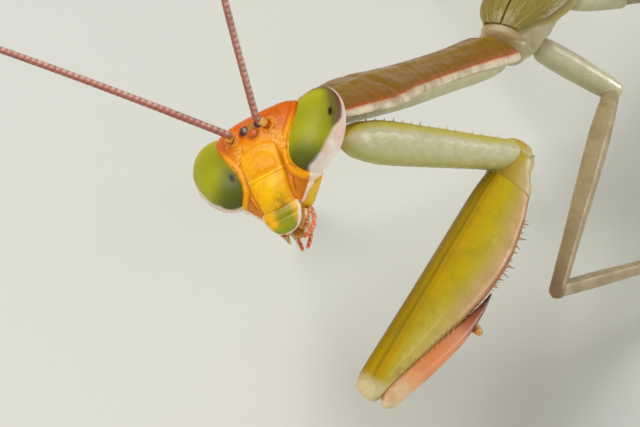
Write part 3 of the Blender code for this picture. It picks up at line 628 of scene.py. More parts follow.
@dataclass
class Limb:
    """A limb or plate with rounded ends, drawn out of a ball along a path.

    A table row is (distance, half side, depth above, depth below). The relief takes the distance and the
    side and rise shares, and gives how far the surface stands out.
    """

    name: str
    path: Path
    hint: Array
    table: Stations
    around: int = 40
    rings: int = 96
    squareness: float = 2.2
    caps: tuple[float, float] = (0.4, 0.4)
    relief: Relief | None = None

    def build(self, anatomy: Anatomy) -> Piece:
        """The limb as a closed mesh in its place.

        Args:
            anatomy: the body's frames.

        Returns:
            The mesh object, with the notes along, side, rise and share on its vertices.
        """
        piece, share, angle = ball(self.name, self.around, self.rings)
        rows = np.array(self.table, float)
        first, last = rows[0, 0], rows[-1, 0]
        reach = 0.5 * (share + (1.0 - np.cos(math.pi * share)) / 2.0)
        reach = np.where(share < 0.5, reach * pole_pace(share), reach)
        reach = np.where(share >= 0.5, 1.0 - (1.0 - reach) * pole_pace(1.0 - share), reach)
        along = first + (last - first) * reach
        sizes = flowing(along, rows[:, 0], rows[:, 1:])
        near = np.clip((self.caps[0] - (along - first)) / self.caps[0], 0.0, 1.0)
        far = np.clip((self.caps[1] - (last - along)) / self.caps[1], 0.0, 1.0)
        closing = np.sqrt(np.clip(1.0 - near ** 2, 0.0, 1.0)) * np.sqrt(np.clip(1.0 - far ** 2, 0.0, 1.0))
        side, rise = superellipse(angle, self.squareness)
        depth = np.where(rise >= 0.0, sizes[:, 1], sizes[:, 2])
        across, up = sizes[:, 0] * side * closing, depth * rise * closing
        if self.relief is not None:
            swell = self.relief(along, side, rise)
            across = across * (1.0 + swell / np.maximum(sizes[:, 0], 0.02))
            up = up * (1.0 + swell / np.maximum(depth, 0.02))
        spot, ahead = self.path.at(along)
        top = self.hint - ahead * (ahead @ self.hint)[:, None]
        top /= np.linalg.norm(top, axis=1)[:, None]
        sides = np.cross(top, ahead)
        place(piece, anatomy.to_world(spot + sides * across[:, None] + top * up[:, None]))
        turned_outwards(piece)
        note(piece, "along", along)
        note(piece, "share", (along - first) / (last - first))
        note(piece, "side", side)
        note(piece, "rise", rise)
        smooth(piece)
        return piece


def straight(start: Array, end: Array) -> Path:
    """A straight path between two points."""
    return Path((start, end))


def round_rows(marks: Sequence[tuple[float, float]], length: float = 1.0, radius: float = 1.0) -> Stations:
    """Limb rows of round sections.

    Args:
        marks: pairs of a place and a size.
        length: what the places are shares of.
        radius: what the sizes are shares of.

    Returns:
        The table's rows.
    """
    return [(share * length, size * radius, size * radius, size * radius) for share, size in marks]


def spine_row(name: str, anatomy: Anatomy, feet: Sequence[tuple[Array, Array, float, float]],
              around: int = 12, bend: float = 0.0) -> Piece:
    """Many sharp spines: one is modelled, and the rest are copies of it, joined.

    Args:
        name: the joined piece's name.
        anatomy: the body's frames.
        feet: for each spine its foot, its direction, its foot radius and its height.
        around: faces round a spine.
        bend: how far the tips curve aside, as a share of the height.

    Returns:
        The joined spines, each vertex noting its share of the way to the tip.
    """
    deselect()
    bpy.ops.mesh.primitive_cone_add(vertices=around, radius1=1.0, radius2=0.06, depth=1.0, location=(0, 0, 0))
    master = bpy.context.view_layer.objects.active
    bpy.ops.object.mode_set(mode="EDIT")
    bpy.ops.mesh.select_all(action="SELECT")
    bpy.ops.mesh.bisect(plane_co=(0, 0, -0.20), plane_no=(0, 0, 1))
    bpy.ops.mesh.select_all(action="SELECT")
    bpy.ops.mesh.bisect(plane_co=(0, 0, 0.15), plane_no=(0, 0, 1))
    bpy.ops.object.mode_set(mode="OBJECT")
    shape = coordinates(master)
    height = shape[:, 2] + 0.5
    slim = 1.0 - 0.35 * np.sin(math.pi * np.clip(height, 0.0, 1.0)) * (height > 0.02)
    copies = []
    for foot, aim, radius, tall in feet:
        twin = master.copy()
        twin.data = master.data.copy()
        bpy.context.scene.collection.objects.link(twin)
        ahead = unit(aim)
        hint = UP if abs(ahead[2]) < 0.9 else np.array((1.0, 0.0, 0.0))
        side, top = square_to(ahead, hint)
        lean = top * bend * tall
        points = (foot + np.outer(shape[:, 0] * slim * radius, side)
                  + np.outer(shape[:, 1] * slim * radius, top)
                  + np.outer(height * tall, ahead) + np.outer(height ** 2, lean))
        place(twin, anatomy.to_world(points))
        note(twin, "share", height)
        copies.append(twin)
    bpy.data.objects.remove(master, do_unlink=True)
    row = joined(copies, name)
    turned_outwards(row)
    smooth(row)
    return row


# --- finishes of this animal -----------------------------------------------------------------
@dataclass(frozen=True)
class RampFinish(Finish):
    """Cuticle whose colour runs through stops read from one of the vertices' notes."""

    reads: str = "rise"
    stops: tuple[tuple[float, Colour], ...] = ()
    wobble: float = 0.05

    def tint(self, graph: Graph) -> object:
        """The stops' colours, with a slightly wandering edge."""
        low = -1.0 if self.reads == "rise" else 0.0
        value = graph.math("DIVIDE", graph.math("SUBTRACT", graph.note(self.reads), low), 1.0 - low)
        drift = graph.math("SUBTRACT", graph.noise(700.0, 2.0), 0.5)
        drift = graph.math("MULTIPLY", drift, self.wobble * 2.0)
        share = graph.math("ADD", value, drift, True)
        return graph.ramp(share, self.stops)


@dataclass(frozen=True)
class LipFinish(RampFinish):
    """The lip's ramp with a pale edge along its sides and tip."""

    edge: Colour = (0.92, 0.80, 0.68)
    gold: Colour = (0.90, 0.46, 0.002)

    def tint(self, graph: Graph) -> object:
        """The ramp, then the golden flank and the pale edge."""
        base = graph.mix(graph.note("flank"), super().tint(graph), self.gold)
        return graph.mix(graph.note("edge"), base, self.edge)


@dataclass(frozen=True)
class FemurFinish(RampFinish):
    """The femur's long stripes, paler towards the tip's under side, with a cream knee."""

    knee: Colour = (0.76, 0.62, 0.36)
    straw: Colour = (0.62, 0.52, 0.09)

    def tint(self, graph: Graph) -> object:
        """The stripes, then the straw patch and the knee."""
        share, rise = graph.note("share"), graph.note("rise")
        patch = graph.math("MULTIPLY", graph.span(share, 0.45, 0.75), graph.span(rise, 0.10, -0.35))
        tone = graph.mix(graph.math("MULTIPLY", patch, 0.7), super().tint(graph), self.straw)
        end = graph.math("ADD", share, graph.span(graph.noise(800.0, 2.0), 0.3, 0.7, -0.012, 0.012))
        return graph.mix(graph.span(end, 0.935, 0.985), tone, self.knee)


@dataclass(frozen=True)
class BandedFinish(Finish):
    """Ringed feelers and palps: darker lines between paler beads; a top colour paints a highlight along the
    upper side.
    """

    line: Colour = (0.2, 0.05, 0.03)
    tip: Colour = (0.3, 0.1, 0.05)
    count: float = 1.0
    width: float = 0.2
    # top: the colour of a painted highlight along the limb's upper side
    top: Colour | None = None

    def rings(self, graph: Graph) -> bpy.types.Node:
        """The shared rings at this finish's count and width."""
        return graph.group(Effects.banding(), along=graph.note("share"), count=self.count, width=self.width)

    def tint(self, graph: Graph) -> object:
        """Rings over a colour that drifts towards the tip, with a painted highlight along the upper side
        where a top colour is given.
        """
        rings = self.rings(graph)
        base = graph.mix(graph.note("share"), self.colour, self.tip)
        # painted highlight: the upper side is mixed towards the top colour
        if self.top is not None:
            base = graph.mix(graph.span(graph.note("rise"), 0.35, 0.95), base, self.top)
        return graph.mix(rings.outputs["Line"], base, self.line)

    def relief(self, graph: Graph, height: object) -> object:
        """The beads stand out over the fine grain."""
        rings = self.rings(graph)
        return graph.math("ADD", graph.math("MULTIPLY", height, 0.3), rings.outputs["Bead"])


@dataclass(frozen=True)
class FaceFinish(Finish):
    """The head's shell: orange crown, yellow plates, rough golden bands, cream rims."""

    crown: Colour = (0.72, 0.13, 0.002)
    cheek: Colour = (0.86, 0.33, 0.002)
    shield: Colour = (0.95, 0.50, 0.001)
    clypeus: Colour = (0.96, 0.62, 0.001)
    lower: Colour = (0.62, 0.19, 0.002)
    rim: Colour = (0.94, 0.42, 0.001)
    cream: Colour = (0.93, 0.80, 0.70)
    gold: Colour = (0.92, 0.50, 0.07)
    dark: Colour = (0.24, 0.035, 0.004)
    olive: Colour = (0.22, 0.20, 0.06)
    brown: Colour = (0.30, 0.17, 0.02)
    flank: Colour = (0.80, 0.55, 0.02)
    straw: Colour = (0.97, 0.72, 0.06)

    def tint(self, graph: Graph) -> object:
        """Each region's colour laid over the cheek's orange."""
        tone = graph.mix(graph.note("crown"), self.cheek, self.crown)
        tone = graph.mix(graph.note("lower"), tone, self.lower)
        tone = graph.mix(graph.note("side"), tone, self.flank)
        cloud = graph.span(graph.noise(1500.0, 3.0, 0.6), 0.36, 0.66, 0.72, 1.0)
        tone = graph.mix(graph.math("MULTIPLY", graph.note("shield"), cloud), tone, self.shield)
        tone = graph.mix(graph.math("MULTIPLY", graph.note("clypeus"), cloud), tone, self.clypeus)
        blot = graph.span(graph.noise(2300.0, 4.0, 0.65), 0.38, 0.60)
        tone = graph.mix(graph.math("MULTIPLY", graph.note("smudge"), blot), tone, self.brown)
        tone = graph.mix(graph.note("rim"), tone, self.rim)
        scratch = graph.span(graph.noise(2600.0, 5.0, 0.65, (1.0, 1.0, 0.35)), 0.44, 0.66)
        tone = graph.mix(graph.math("MULTIPLY", scratch, 0.30), tone, self.lower)
        pits = graph.span(graph.noise(5200.0, 3.0, 0.7), 0.44, 0.60)
        golden = graph.mix(pits, self.gold, self.lower)
        tone = graph.mix(graph.math("MULTIPLY", graph.note("rough"), 0.75), tone, golden)
        # painted shade in the seams, eye groove and strand troughs, and the ocelli's own dark rings
        tone = graph.mix(graph.note("groove"), tone, self.dark)
        tone = graph.mix(graph.note("patch"), tone, self.olive)
        tone = graph.mix(graph.math("MULTIPLY", graph.note("line"), 0.7), tone, self.straw)
        return graph.mix(graph.note("cream"), tone, self.cream)


@dataclass(frozen=True)
class EyeFinish(Finish):
    """Compound eye: fine facets, green dome lighter above and darker below, partly as painted light and
    shade, brown and red margin with the brown partly painted shade, cream back partly a painted highlight,
    one dark spot.
    """

    # top, middle and deep run down the dome: the lighter top and darker bottom are partly painted light and
    # painted shade
    top: Colour = (0.52, 0.47, 0.004)
    middle: Colour = (0.36, 0.36, 0.003)
    deep: Colour = (0.075, 0.088, 0.006)
    brown: Colour = (0.16, 0.10, 0.03)
    red: Colour = (0.17, 0.035, 0.015)
    cream: Colour = (0.96, 0.86, 0.78)
    pink: Colour = (0.90, 0.60, 0.50)
    ochre: Colour = (0.60, 0.27, 0.03)
    black: Colour = (0.004, 0.003, 0.002)

    def paint(self, graph: Graph, shader: bpy.types.Node) -> None:
        """Bands by height and depth, the spot with its halo, and the facets.

        Args:
            graph: the material's nodes.
            shader: its Principled shader.
        """
        # darker towards the bottom and along the inner side, lighter at the top: partly the eye's own green
        # and olive, partly painted shade and painted light
        dome = graph.ramp(graph.note("height"), ((0.0, self.deep), (0.30, self.middle), (0.62, self.middle),
                                                 (1.0, self.top)))
        dome = graph.mix(graph.note("inner"), dome, self.deep)
        # brown margin: partly the eye's own brown, partly painted shade where the eye turns away
        dome = graph.mix(graph.note("brown"), dome, self.brown)
        dome = graph.mix(graph.note("red"), dome, self.red)
        # the pale back is partly the eye's own cream rim, partly a painted highlight
        blush = graph.mix(graph.span(graph.noise(900.0, 3.0), 0.35, 0.65), self.cream, self.pink)
        dome = graph.mix(graph.note("cream"), dome, blush)
        dome = graph.mix(graph.note("rear"), dome, self.ochre)
        dome = graph.mix(graph.note("halo"), dome, self.deep)
        dome = graph.mix(graph.note("spot"), dome, self.black)
        fine = graph.span(graph.noise(1400.0, 3.0), 0.3, 0.8, 0.0, 0.18)
        graph.feed(shader.inputs["Base Color"], graph.mix(fine, dome, self.shade))
        facets = graph.math("SUBTRACT", 1.0, graph.cells(26000.0))
        graph.feed(shader.inputs["Normal"], graph.bump(facets, self.depth))


@dataclass(frozen=True)
class WingFinish(Finish):
    """Leathery wing cover: fine net of veins between long straight ones."""

    vein: Colour = (0.22, 0.16, 0.03)
    edge: Colour = (0.42, 0.34, 0.08)

    def paint(self, graph: Graph, shader: bpy.types.Node) -> None:
        """Long veins by the place across, small cells between them.

        Args:
            graph: the material's nodes.
            shader: its Principled shader.
        """
        across = graph.note("across")
        wave = graph.math("FRACT", graph.math("MULTIPLY", across, 7.0))
        long_veins = graph.span(graph.math("ABSOLUTE", graph.math("SUBTRACT", wave, 0.5)), 0.40, 0.48)
        net = graph.node("ShaderNodeTexVoronoi", feature="DISTANCE_TO_EDGE")
        grid = graph.node("ShaderNodeCombineXYZ")
        graph.feed(grid.inputs[0], graph.math("MULTIPLY", graph.note("along"), 1.6))
        graph.feed(grid.inputs[1], graph.math("MULTIPLY", across, 26.0))
        graph.feed(net.inputs["Vector"], grid.outputs[0])
        net.inputs["Scale"].default_value = 1.0
        small = graph.span(net.outputs["Distance"], 0.10, 0.03)
        veins = graph.math("MAXIMUM", long_veins, graph.math("MULTIPLY", small, 0.6))
        skin = self.cuticle(graph)
        tone = graph.mix(graph.math("MULTIPLY", veins, 0.7), skin.outputs["Colour"], self.vein)
        tone = graph.mix(graph.span(across, 0.90, 0.97), tone, self.edge)
        graph.feed(shader.inputs["Base Color"], tone)
        graph.feed(shader.inputs["Roughness"], skin.outputs["Gloss"])
        height = graph.math("ADD", veins, graph.math("MULTIPLY", skin.outputs["Height"], 0.25))
        graph.feed(shader.inputs["Normal"], graph.bump(height, self.depth))


class Finishes:
    """Every finish of the animal."""

    FACE = FaceFinish(
        "glossy_orange_face", (0.72, 0.16, 0.002), (0.95, 0.62, 0.10), mottle=0.30, specks=0.10, coat=0.06,
        gleam=0.22, depth=0.000024)
    EYE = EyeFinish(
        "faceted_green_eye", (0.18, 0.20, 0.01), roughness=0.48, coat=0.04, glow=0.0, gleam=0.28,
        depth=0.000003)
    OCELLUS = Finish(
        "amber_ocellus", (0.36, 0.05, 0.004), colour=(0.62, 0.15, 0.008), mottle=0.6, specks=0.0, coat=0.2,
        roughness=0.3, gleam=0.3)
    DARK_OCELLUS = Finish(
        "dark_ocellus", (0.03, 0.006, 0.003), colour=(0.070, 0.012, 0.005), mottle=0.5, specks=0.0,
        coat=0.6, roughness=0.2)
    LIP = LipFinish(
        "yellow_olive_lip", (0.42, 0.26, 0.01), (0.95, 0.80, 0.45), reads="share",
        stops=((0.0, (0.60, 0.34, 0.004)), (0.22, (0.34, 0.24, 0.006)), (0.50, (0.27, 0.26, 0.006)),
        (0.80, (0.22, 0.32, 0.006)), (1.0, (0.30, 0.34, 0.01))), coat=0.1, gleam=0.3, wobble=0.14)
    JAW = Finish(
        "amber_jaw", (0.45, 0.12, 0.01), (0.95, 0.85, 0.65), colour=(0.72, 0.36, 0.06), specks=0.35)
    LOBE = Finish(
        "pale_lobe", (0.84, 0.38, 0.12), (0.96, 0.92, 0.86), colour=(0.90, 0.76, 0.56), mottle=0.8,
        specks=0.5, coat=0.4)
    PALP = BandedFinish(
        "ringed_palp", (0.65, 0.12, 0.02), colour=(0.86, 0.34, 0.14), line=(0.92, 0.78, 0.62),
        tip=(0.80, 0.10, 0.01), count=5.0, width=0.16, mottle=0.3)
    PALE_PALP = BandedFinish(
        "pale_palp", (0.72, 0.42, 0.20), colour=(0.88, 0.74, 0.50), line=(0.95, 0.85, 0.70),
        tip=(0.85, 0.55, 0.30), count=5.0, width=0.16, mottle=0.3)
    # the feeler's pale top colour is a painted highlight along its upper side
    FEELER = BandedFinish(
        "ringed_feeler", (0.30, 0.08, 0.06), colour=(0.42, 0.14, 0.10), line=(0.40, 0.16, 0.12),
        tip=(0.34, 0.13, 0.09), count=FEELER_RINGS, width=0.30, top=(0.68, 0.44, 0.38), mottle=0.35,
        specks=0.0, coat=0.1, gleam=0.3)
    SCAPE = Finish(
        "golden_socket", (0.84, 0.30, 0.02), (0.98, 0.92, 0.70), colour=(0.92, 0.50, 0.10), mottle=0.5,
        specks=0.7, coat=0.7, roughness=0.2)
    SHIELD = RampFinish(
        "ochre_shield", (0.17, 0.10, 0.012), (0.55, 0.45, 0.12), reads="edge",
        stops=((0.0, (0.31, 0.16, 0.004)), (0.55, (0.27, 0.115, 0.003)), (0.80, (0.30, 0.11, 0.004)),
        (0.88, (0.50, 0.09, 0.006)), (0.94, (0.80, 0.58, 0.40)), (1.0, (0.84, 0.70, 0.52))), wobble=0.015,
        coat=0.02, gleam=0.3, mottle=0.5)
    PALE = RampFinish(
        "pale_green_underside", (0.44, 0.40, 0.18), (0.85, 0.82, 0.62), stops=((0.0, (0.52, 0.50, 0.26)),
        (0.6, (0.60, 0.56, 0.34)), (1.0, (0.74, 0.62, 0.46))), specks=0.25, coat=0.1)
    NECK = Finish(
        "soft_neck", (0.50, 0.30, 0.14), (0.85, 0.75, 0.55), colour=(0.66, 0.52, 0.32), coat=0.0, glow=0.3)
    COXA = RampFinish(
        "pale_green_coxa", (0.46, 0.44, 0.18), (0.92, 0.90, 0.78), stops=((0.0, (0.46, 0.44, 0.13)),
        (0.35, (0.58, 0.54, 0.30)), (0.72, (0.64, 0.58, 0.38)), (0.90, (0.60, 0.50, 0.05)),
        (1.0, (0.54, 0.38, 0.01))), specks=0.18, wobble=0.06, coat=0.05, gleam=0.3)
    TROCHANTER = RampFinish(
        "ochre_hinge", (0.50, 0.36, 0.09), (0.85, 0.78, 0.50), stops=((0.0, (0.60, 0.46, 0.22)),
        (0.22, (0.58, 0.46, 0.18)), (0.34, (0.50, 0.34, 0.03)), (0.52, (0.50, 0.32, 0.01)),
        (0.68, (0.52, 0.40, 0.08)), (0.85, (0.58, 0.50, 0.22)), (1.0, (0.60, 0.52, 0.26))), wobble=0.05,
        coat=0.05, gleam=0.3, specks=0.1)
    FEMUR = FemurFinish(
        "striped_femur", (0.36, 0.26, 0.010), (0.80, 0.68, 0.25), stops=((0.0, (0.24, 0.05, 0.02)),
        (0.03, (0.42, 0.14, 0.06)), (0.06, (0.68, 0.40, 0.22)), (0.16, (0.64, 0.43, 0.16)),
        (0.23, (0.58, 0.44, 0.04)), (0.36, (0.62, 0.45, 0.006)), (0.52, (0.68, 0.42, 0.001)),
        (0.64, (0.60, 0.36, 0.001)), (0.71, (0.42, 0.24, 0.002)), (0.79, (0.58, 0.38, 0.002)),
        (0.94, (0.46, 0.29, 0.002)), (1.0, (0.36, 0.15, 0.01))), wobble=0.02, coat=0.04, gleam=0.25,
        specks=0.05, mottle=0.35)
    KNEE = Finish(
        "cream_knee", (0.62, 0.44, 0.20), (0.90, 0.85, 0.70), colour=(0.74, 0.60, 0.38), specks=0.2)
    TIBIA = RampFinish(
        "salmon_tibia", (0.66, 0.20, 0.07), (0.92, 0.66, 0.45), reads="share",
        stops=((0.0, (0.76, 0.62, 0.38)), (0.14, (0.80, 0.56, 0.32)), (0.22, (0.86, 0.40, 0.18)),
        (0.42, (0.84, 0.29, 0.10)), (0.62, (0.74, 0.30, 0.16)), (0.74, (0.34, 0.10, 0.05)),
        (1.0, (0.05, 0.015, 0.010))), coat=0.08, gleam=0.3)
    SPINE = RampFinish(
        "dark_tipped_spine", (0.30, 0.18, 0.04), reads="share", stops=((0.0, (0.56, 0.40, 0.18)),
        (0.55, (0.50, 0.24, 0.08)), (0.82, (0.10, 0.025, 0.012)), (1.0, (0.03, 0.010, 0.006))), coat=0.5,
        specks=0.0, depth=0.000008)
    FORE_TARSUS = BandedFinish(
        "amber_fore_foot", (0.50, 0.16, 0.03), colour=(0.70, 0.30, 0.06), line=(0.34, 0.10, 0.03),
        tip=(0.62, 0.22, 0.05), count=5.0, width=0.08)
    LEG = RampFinish(
        "brown_grey_leg", (0.26, 0.17, 0.09), (0.66, 0.58, 0.42), reads="share",
        stops=((0.0, (0.50, 0.42, 0.26)), (0.12, (0.44, 0.35, 0.20)), (0.86, (0.42, 0.31, 0.17)),
        (1.0, (0.30, 0.18, 0.09))), specks=0.15, coat=0.03, gleam=0.35)
    PALE_COXA = RampFinish(
        "pale_walking_coxa", (0.46, 0.42, 0.24), (0.85, 0.82, 0.66), stops=((0.0, (0.50, 0.46, 0.26)),
        (1.0, (0.68, 0.62, 0.42))), specks=0.3)
    FOOT = BandedFinish(
        "jointed_foot", (0.28, 0.18, 0.09), colour=(0.42, 0.31, 0.17), line=(0.16, 0.09, 0.04),
        tip=(0.34, 0.20, 0.10), count=5.0, width=0.07)
    CLAW = Finish(
        "dark_claw", (0.03, 0.012, 0.006), colour=(0.07, 0.025, 0.012), mottle=0.5, specks=0.0, coat=0.6)
    # paler below and darker towards the top; the darker top is partly painted shade under the wing covers
    THORAX = RampFinish(
        "tan_thorax", (0.32, 0.22, 0.10), (0.75, 0.68, 0.48), stops=((0.0, (0.56, 0.52, 0.32)),
        (0.55, (0.46, 0.38, 0.20)), (1.0, (0.40, 0.28, 0.12))), specks=0.2)
    ABDOMEN = RampFinish(
        "olive_abdomen", (0.20, 0.17, 0.05), (0.55, 0.52, 0.25), reads="share",
        stops=((0.0, (0.36, 0.30, 0.12)), (0.25, (0.34, 0.33, 0.09)), (0.85, (0.32, 0.31, 0.08)),
        (1.0, (0.46, 0.38, 0.16))), specks=0.15, mottle=0.6)
    WING = WingFinish(
        "veined_wing_cover", (0.25, 0.17, 0.03), (0.45, 0.38, 0.10), colour=(0.33, 0.25, 0.035),
        specks=0.05, mottle=0.5, coat=0.1, depth=0.000035)
    VEIL = WingFinish(
        "folded_hind_wing", (0.22, 0.16, 0.06), (0.45, 0.38, 0.10), colour=(0.30, 0.24, 0.10), specks=0.05,
        mottle=0.5, coat=0.1, depth=0.00002)


# --- head ------------------------------------------------------------------------------------
@dataclass
class Eyes:
    """The two compound eyes."""

    centre: ClassVar[Place] = (2.29, 0.04, -0.05)
    half: Place = (1.52, 1.22, 2.01)
    lean: float = 0.21
    tilt: float = 0.30
    around: int = 128
    rings: int = 96
    spots: dict[Hand, Place] = field(default_factory=lambda: {
        Hand.LEFT: (0.80, -0.59, 0.10), Hand.RIGHT: (-0.35, -0.85, -0.38)})
    spot_size: Place = (0.10, 0.10, 0.21)
    halo_reach: float = 4.8
    halos: dict[Hand, float] = field(default_factory=lambda: {Hand.LEFT: 0.35, Hand.RIGHT: 0.85})
    rim_rise: float = 0.012
    seat: float = 0.985
    taper: float = -0.14
    fullness: float = 2.10
    # levels of the brown, red and cream margins for each eye; the eyes differ because the brown is partly
    # painted shade and the cream partly a painted highlight
    edges: dict[Hand, tuple[tuple[float, ...], ...]] = field(default_factory=lambda: {
        Hand.LEFT: ((-0.60, -0.64, -0.70, -0.78, -0.80, -0.82, -0.80, -0.74, -0.60),
                    (-0.45, -0.48, -0.50, -0.52, -0.50, -0.47, -0.47, -0.42, -0.40),
                    (-0.58, -0.72, -0.75, -0.62, -0.18, -0.12, -0.11, -0.15, -0.22)),
        Hand.RIGHT: ((-0.30,) * 9, (-0.20,) * 9,
                     (-0.25, -0.64, -0.71, -0.78, -0.72, -0.60, -0.45, -0.20, 0.0))})
    levels: tuple[float, ...] = (-2.0, -1.6, -1.15, -0.6, -0.13, 0.2, 0.72, 1.1, 1.5)
    rim_levels: tuple[float, ...] = (-2.1, -1.9, -1.5, -0.9, -0.3)
    rim_sides: tuple[float, ...] = (-0.25, 0.0, 0.25, 0.40, 0.50)

    def nearness(self, points: Array, hand: Hand) -> Array:
        """How far points lie from an eye's middle, as a share of its surface's distance.

        Args:
            points: rows in the head's frame.
            hand: which eye.

        Returns:
            Less than 1 inside the eye, more outside.
        """
        x, y, z = points.T
        z = z - self.centre[2]
        x = hand.value * x - self.centre[0] - self.lean * z
        y = (y - self.centre[1] - self.tilt * z) / (1.0 + self.taper * np.clip(z / self.half[2], -1.0, 1.0))
        shares = np.stack([x / self.half[0], y / self.half[1], z / self.half[2]])
        return np.sum(np.abs(shares) ** self.fullness, axis=0) ** (1.0 / self.fullness)

    def surface(self, hand: Hand, sphere: Array) -> tuple[Array, Array, Array]:
        """An eye's surface.

        Args:
            hand: which eye.
            sphere: the directions of its vertices from its middle.

        Returns:
            The vertices in the head's frame, and each one's depth and height in the eye before it is tilted.
        """
        full = np.sum(np.abs(sphere) ** self.fullness, axis=1) ** (-1.0 / self.fullness)
        local = sphere * full[:, None] * np.array(self.half)
        high = local[:, 2].copy()
        back = local[:, 1] * (1.0 + self.taper * high / self.half[2])
        local[:, 0] = hand.value * (self.centre[0] + local[:, 0] + self.lean * high)
        local[:, 1] = self.centre[1] + back + self.tilt * high
        local[:, 2] = self.centre[2] + high
        return local, back, high

    def build(self, anatomy: Anatomy) -> None:
        """Both eyes, each with the notes that its finish reads."""
        for hand in Hand:
            piece, _, _ = ball(f"compound_eye_{hand.word}", self.around, self.rings)
            sphere = coordinates(piece)
            local, back, high = self.surface(hand, sphere)
            brown, red, rim = (np.interp(high, self.levels, edge) for edge in self.edges[hand])
            inward = self.centre[0] - hand.value * local[:, 0]
            # painted shade over the eye's own dark olive: darker low down on the inner side
            lower = step(inward, -0.9, 0.5) * step(-high, 0.2, 1.3)
            note(piece, "height", 0.5 + 0.5 * sphere[:, 2])
            note(piece, "inner", 0.85 * lower)
            # the brown margin is partly painted shade where the eye turns away, so the two eyes differ
            note(piece, "brown", step(back - brown, -0.06, 0.24) * 0.92 * step(high, -0.9, -0.3))
            note(piece, "red", step(back - red, 0.0, 0.16) * np.interp(high, (-1.2, -0.5), (0.1, 1.0)))
            # the cream back is partly a painted highlight
            outer = step(sphere[:, 0] - np.interp(high, self.rim_levels, self.rim_sides), -0.1, 0.1)
            note(piece, "cream", step(back - rim, -0.04, 0.12) * np.maximum(outer, step(back, -0.3, 0.2)))
            note(piece, "rear", step(back, 0.75, 1.10))
            gap = (sphere - unit(np.array(self.spots[hand]))) * np.array(self.half)
            away = np.linalg.norm(gap / np.array(self.spot_size), axis=1)
            note(piece, "spot", 1.0 - step(away, 0.8, 1.35))
            note(piece, "halo", self.halos[hand] * bell(away, 0.0, self.halo_reach))
            ridge = 1.0 + self.rim_rise * step(back - rim, -0.04, 0.06) * step(1.2 - high, 0.0, 0.3) * outer
            middle = np.array((hand.value * self.centre[0], self.centre[1], self.centre[2]))
            local = middle + (local - middle) * ridge[:, None] * self.seat
            place(piece, anatomy.to_world(anatomy.from_head(local)))
            turned_outwards(piece)
            smooth(piece, 80.0)
            dress(piece, Finishes.EYE, [f"eye_{hand.word}"])


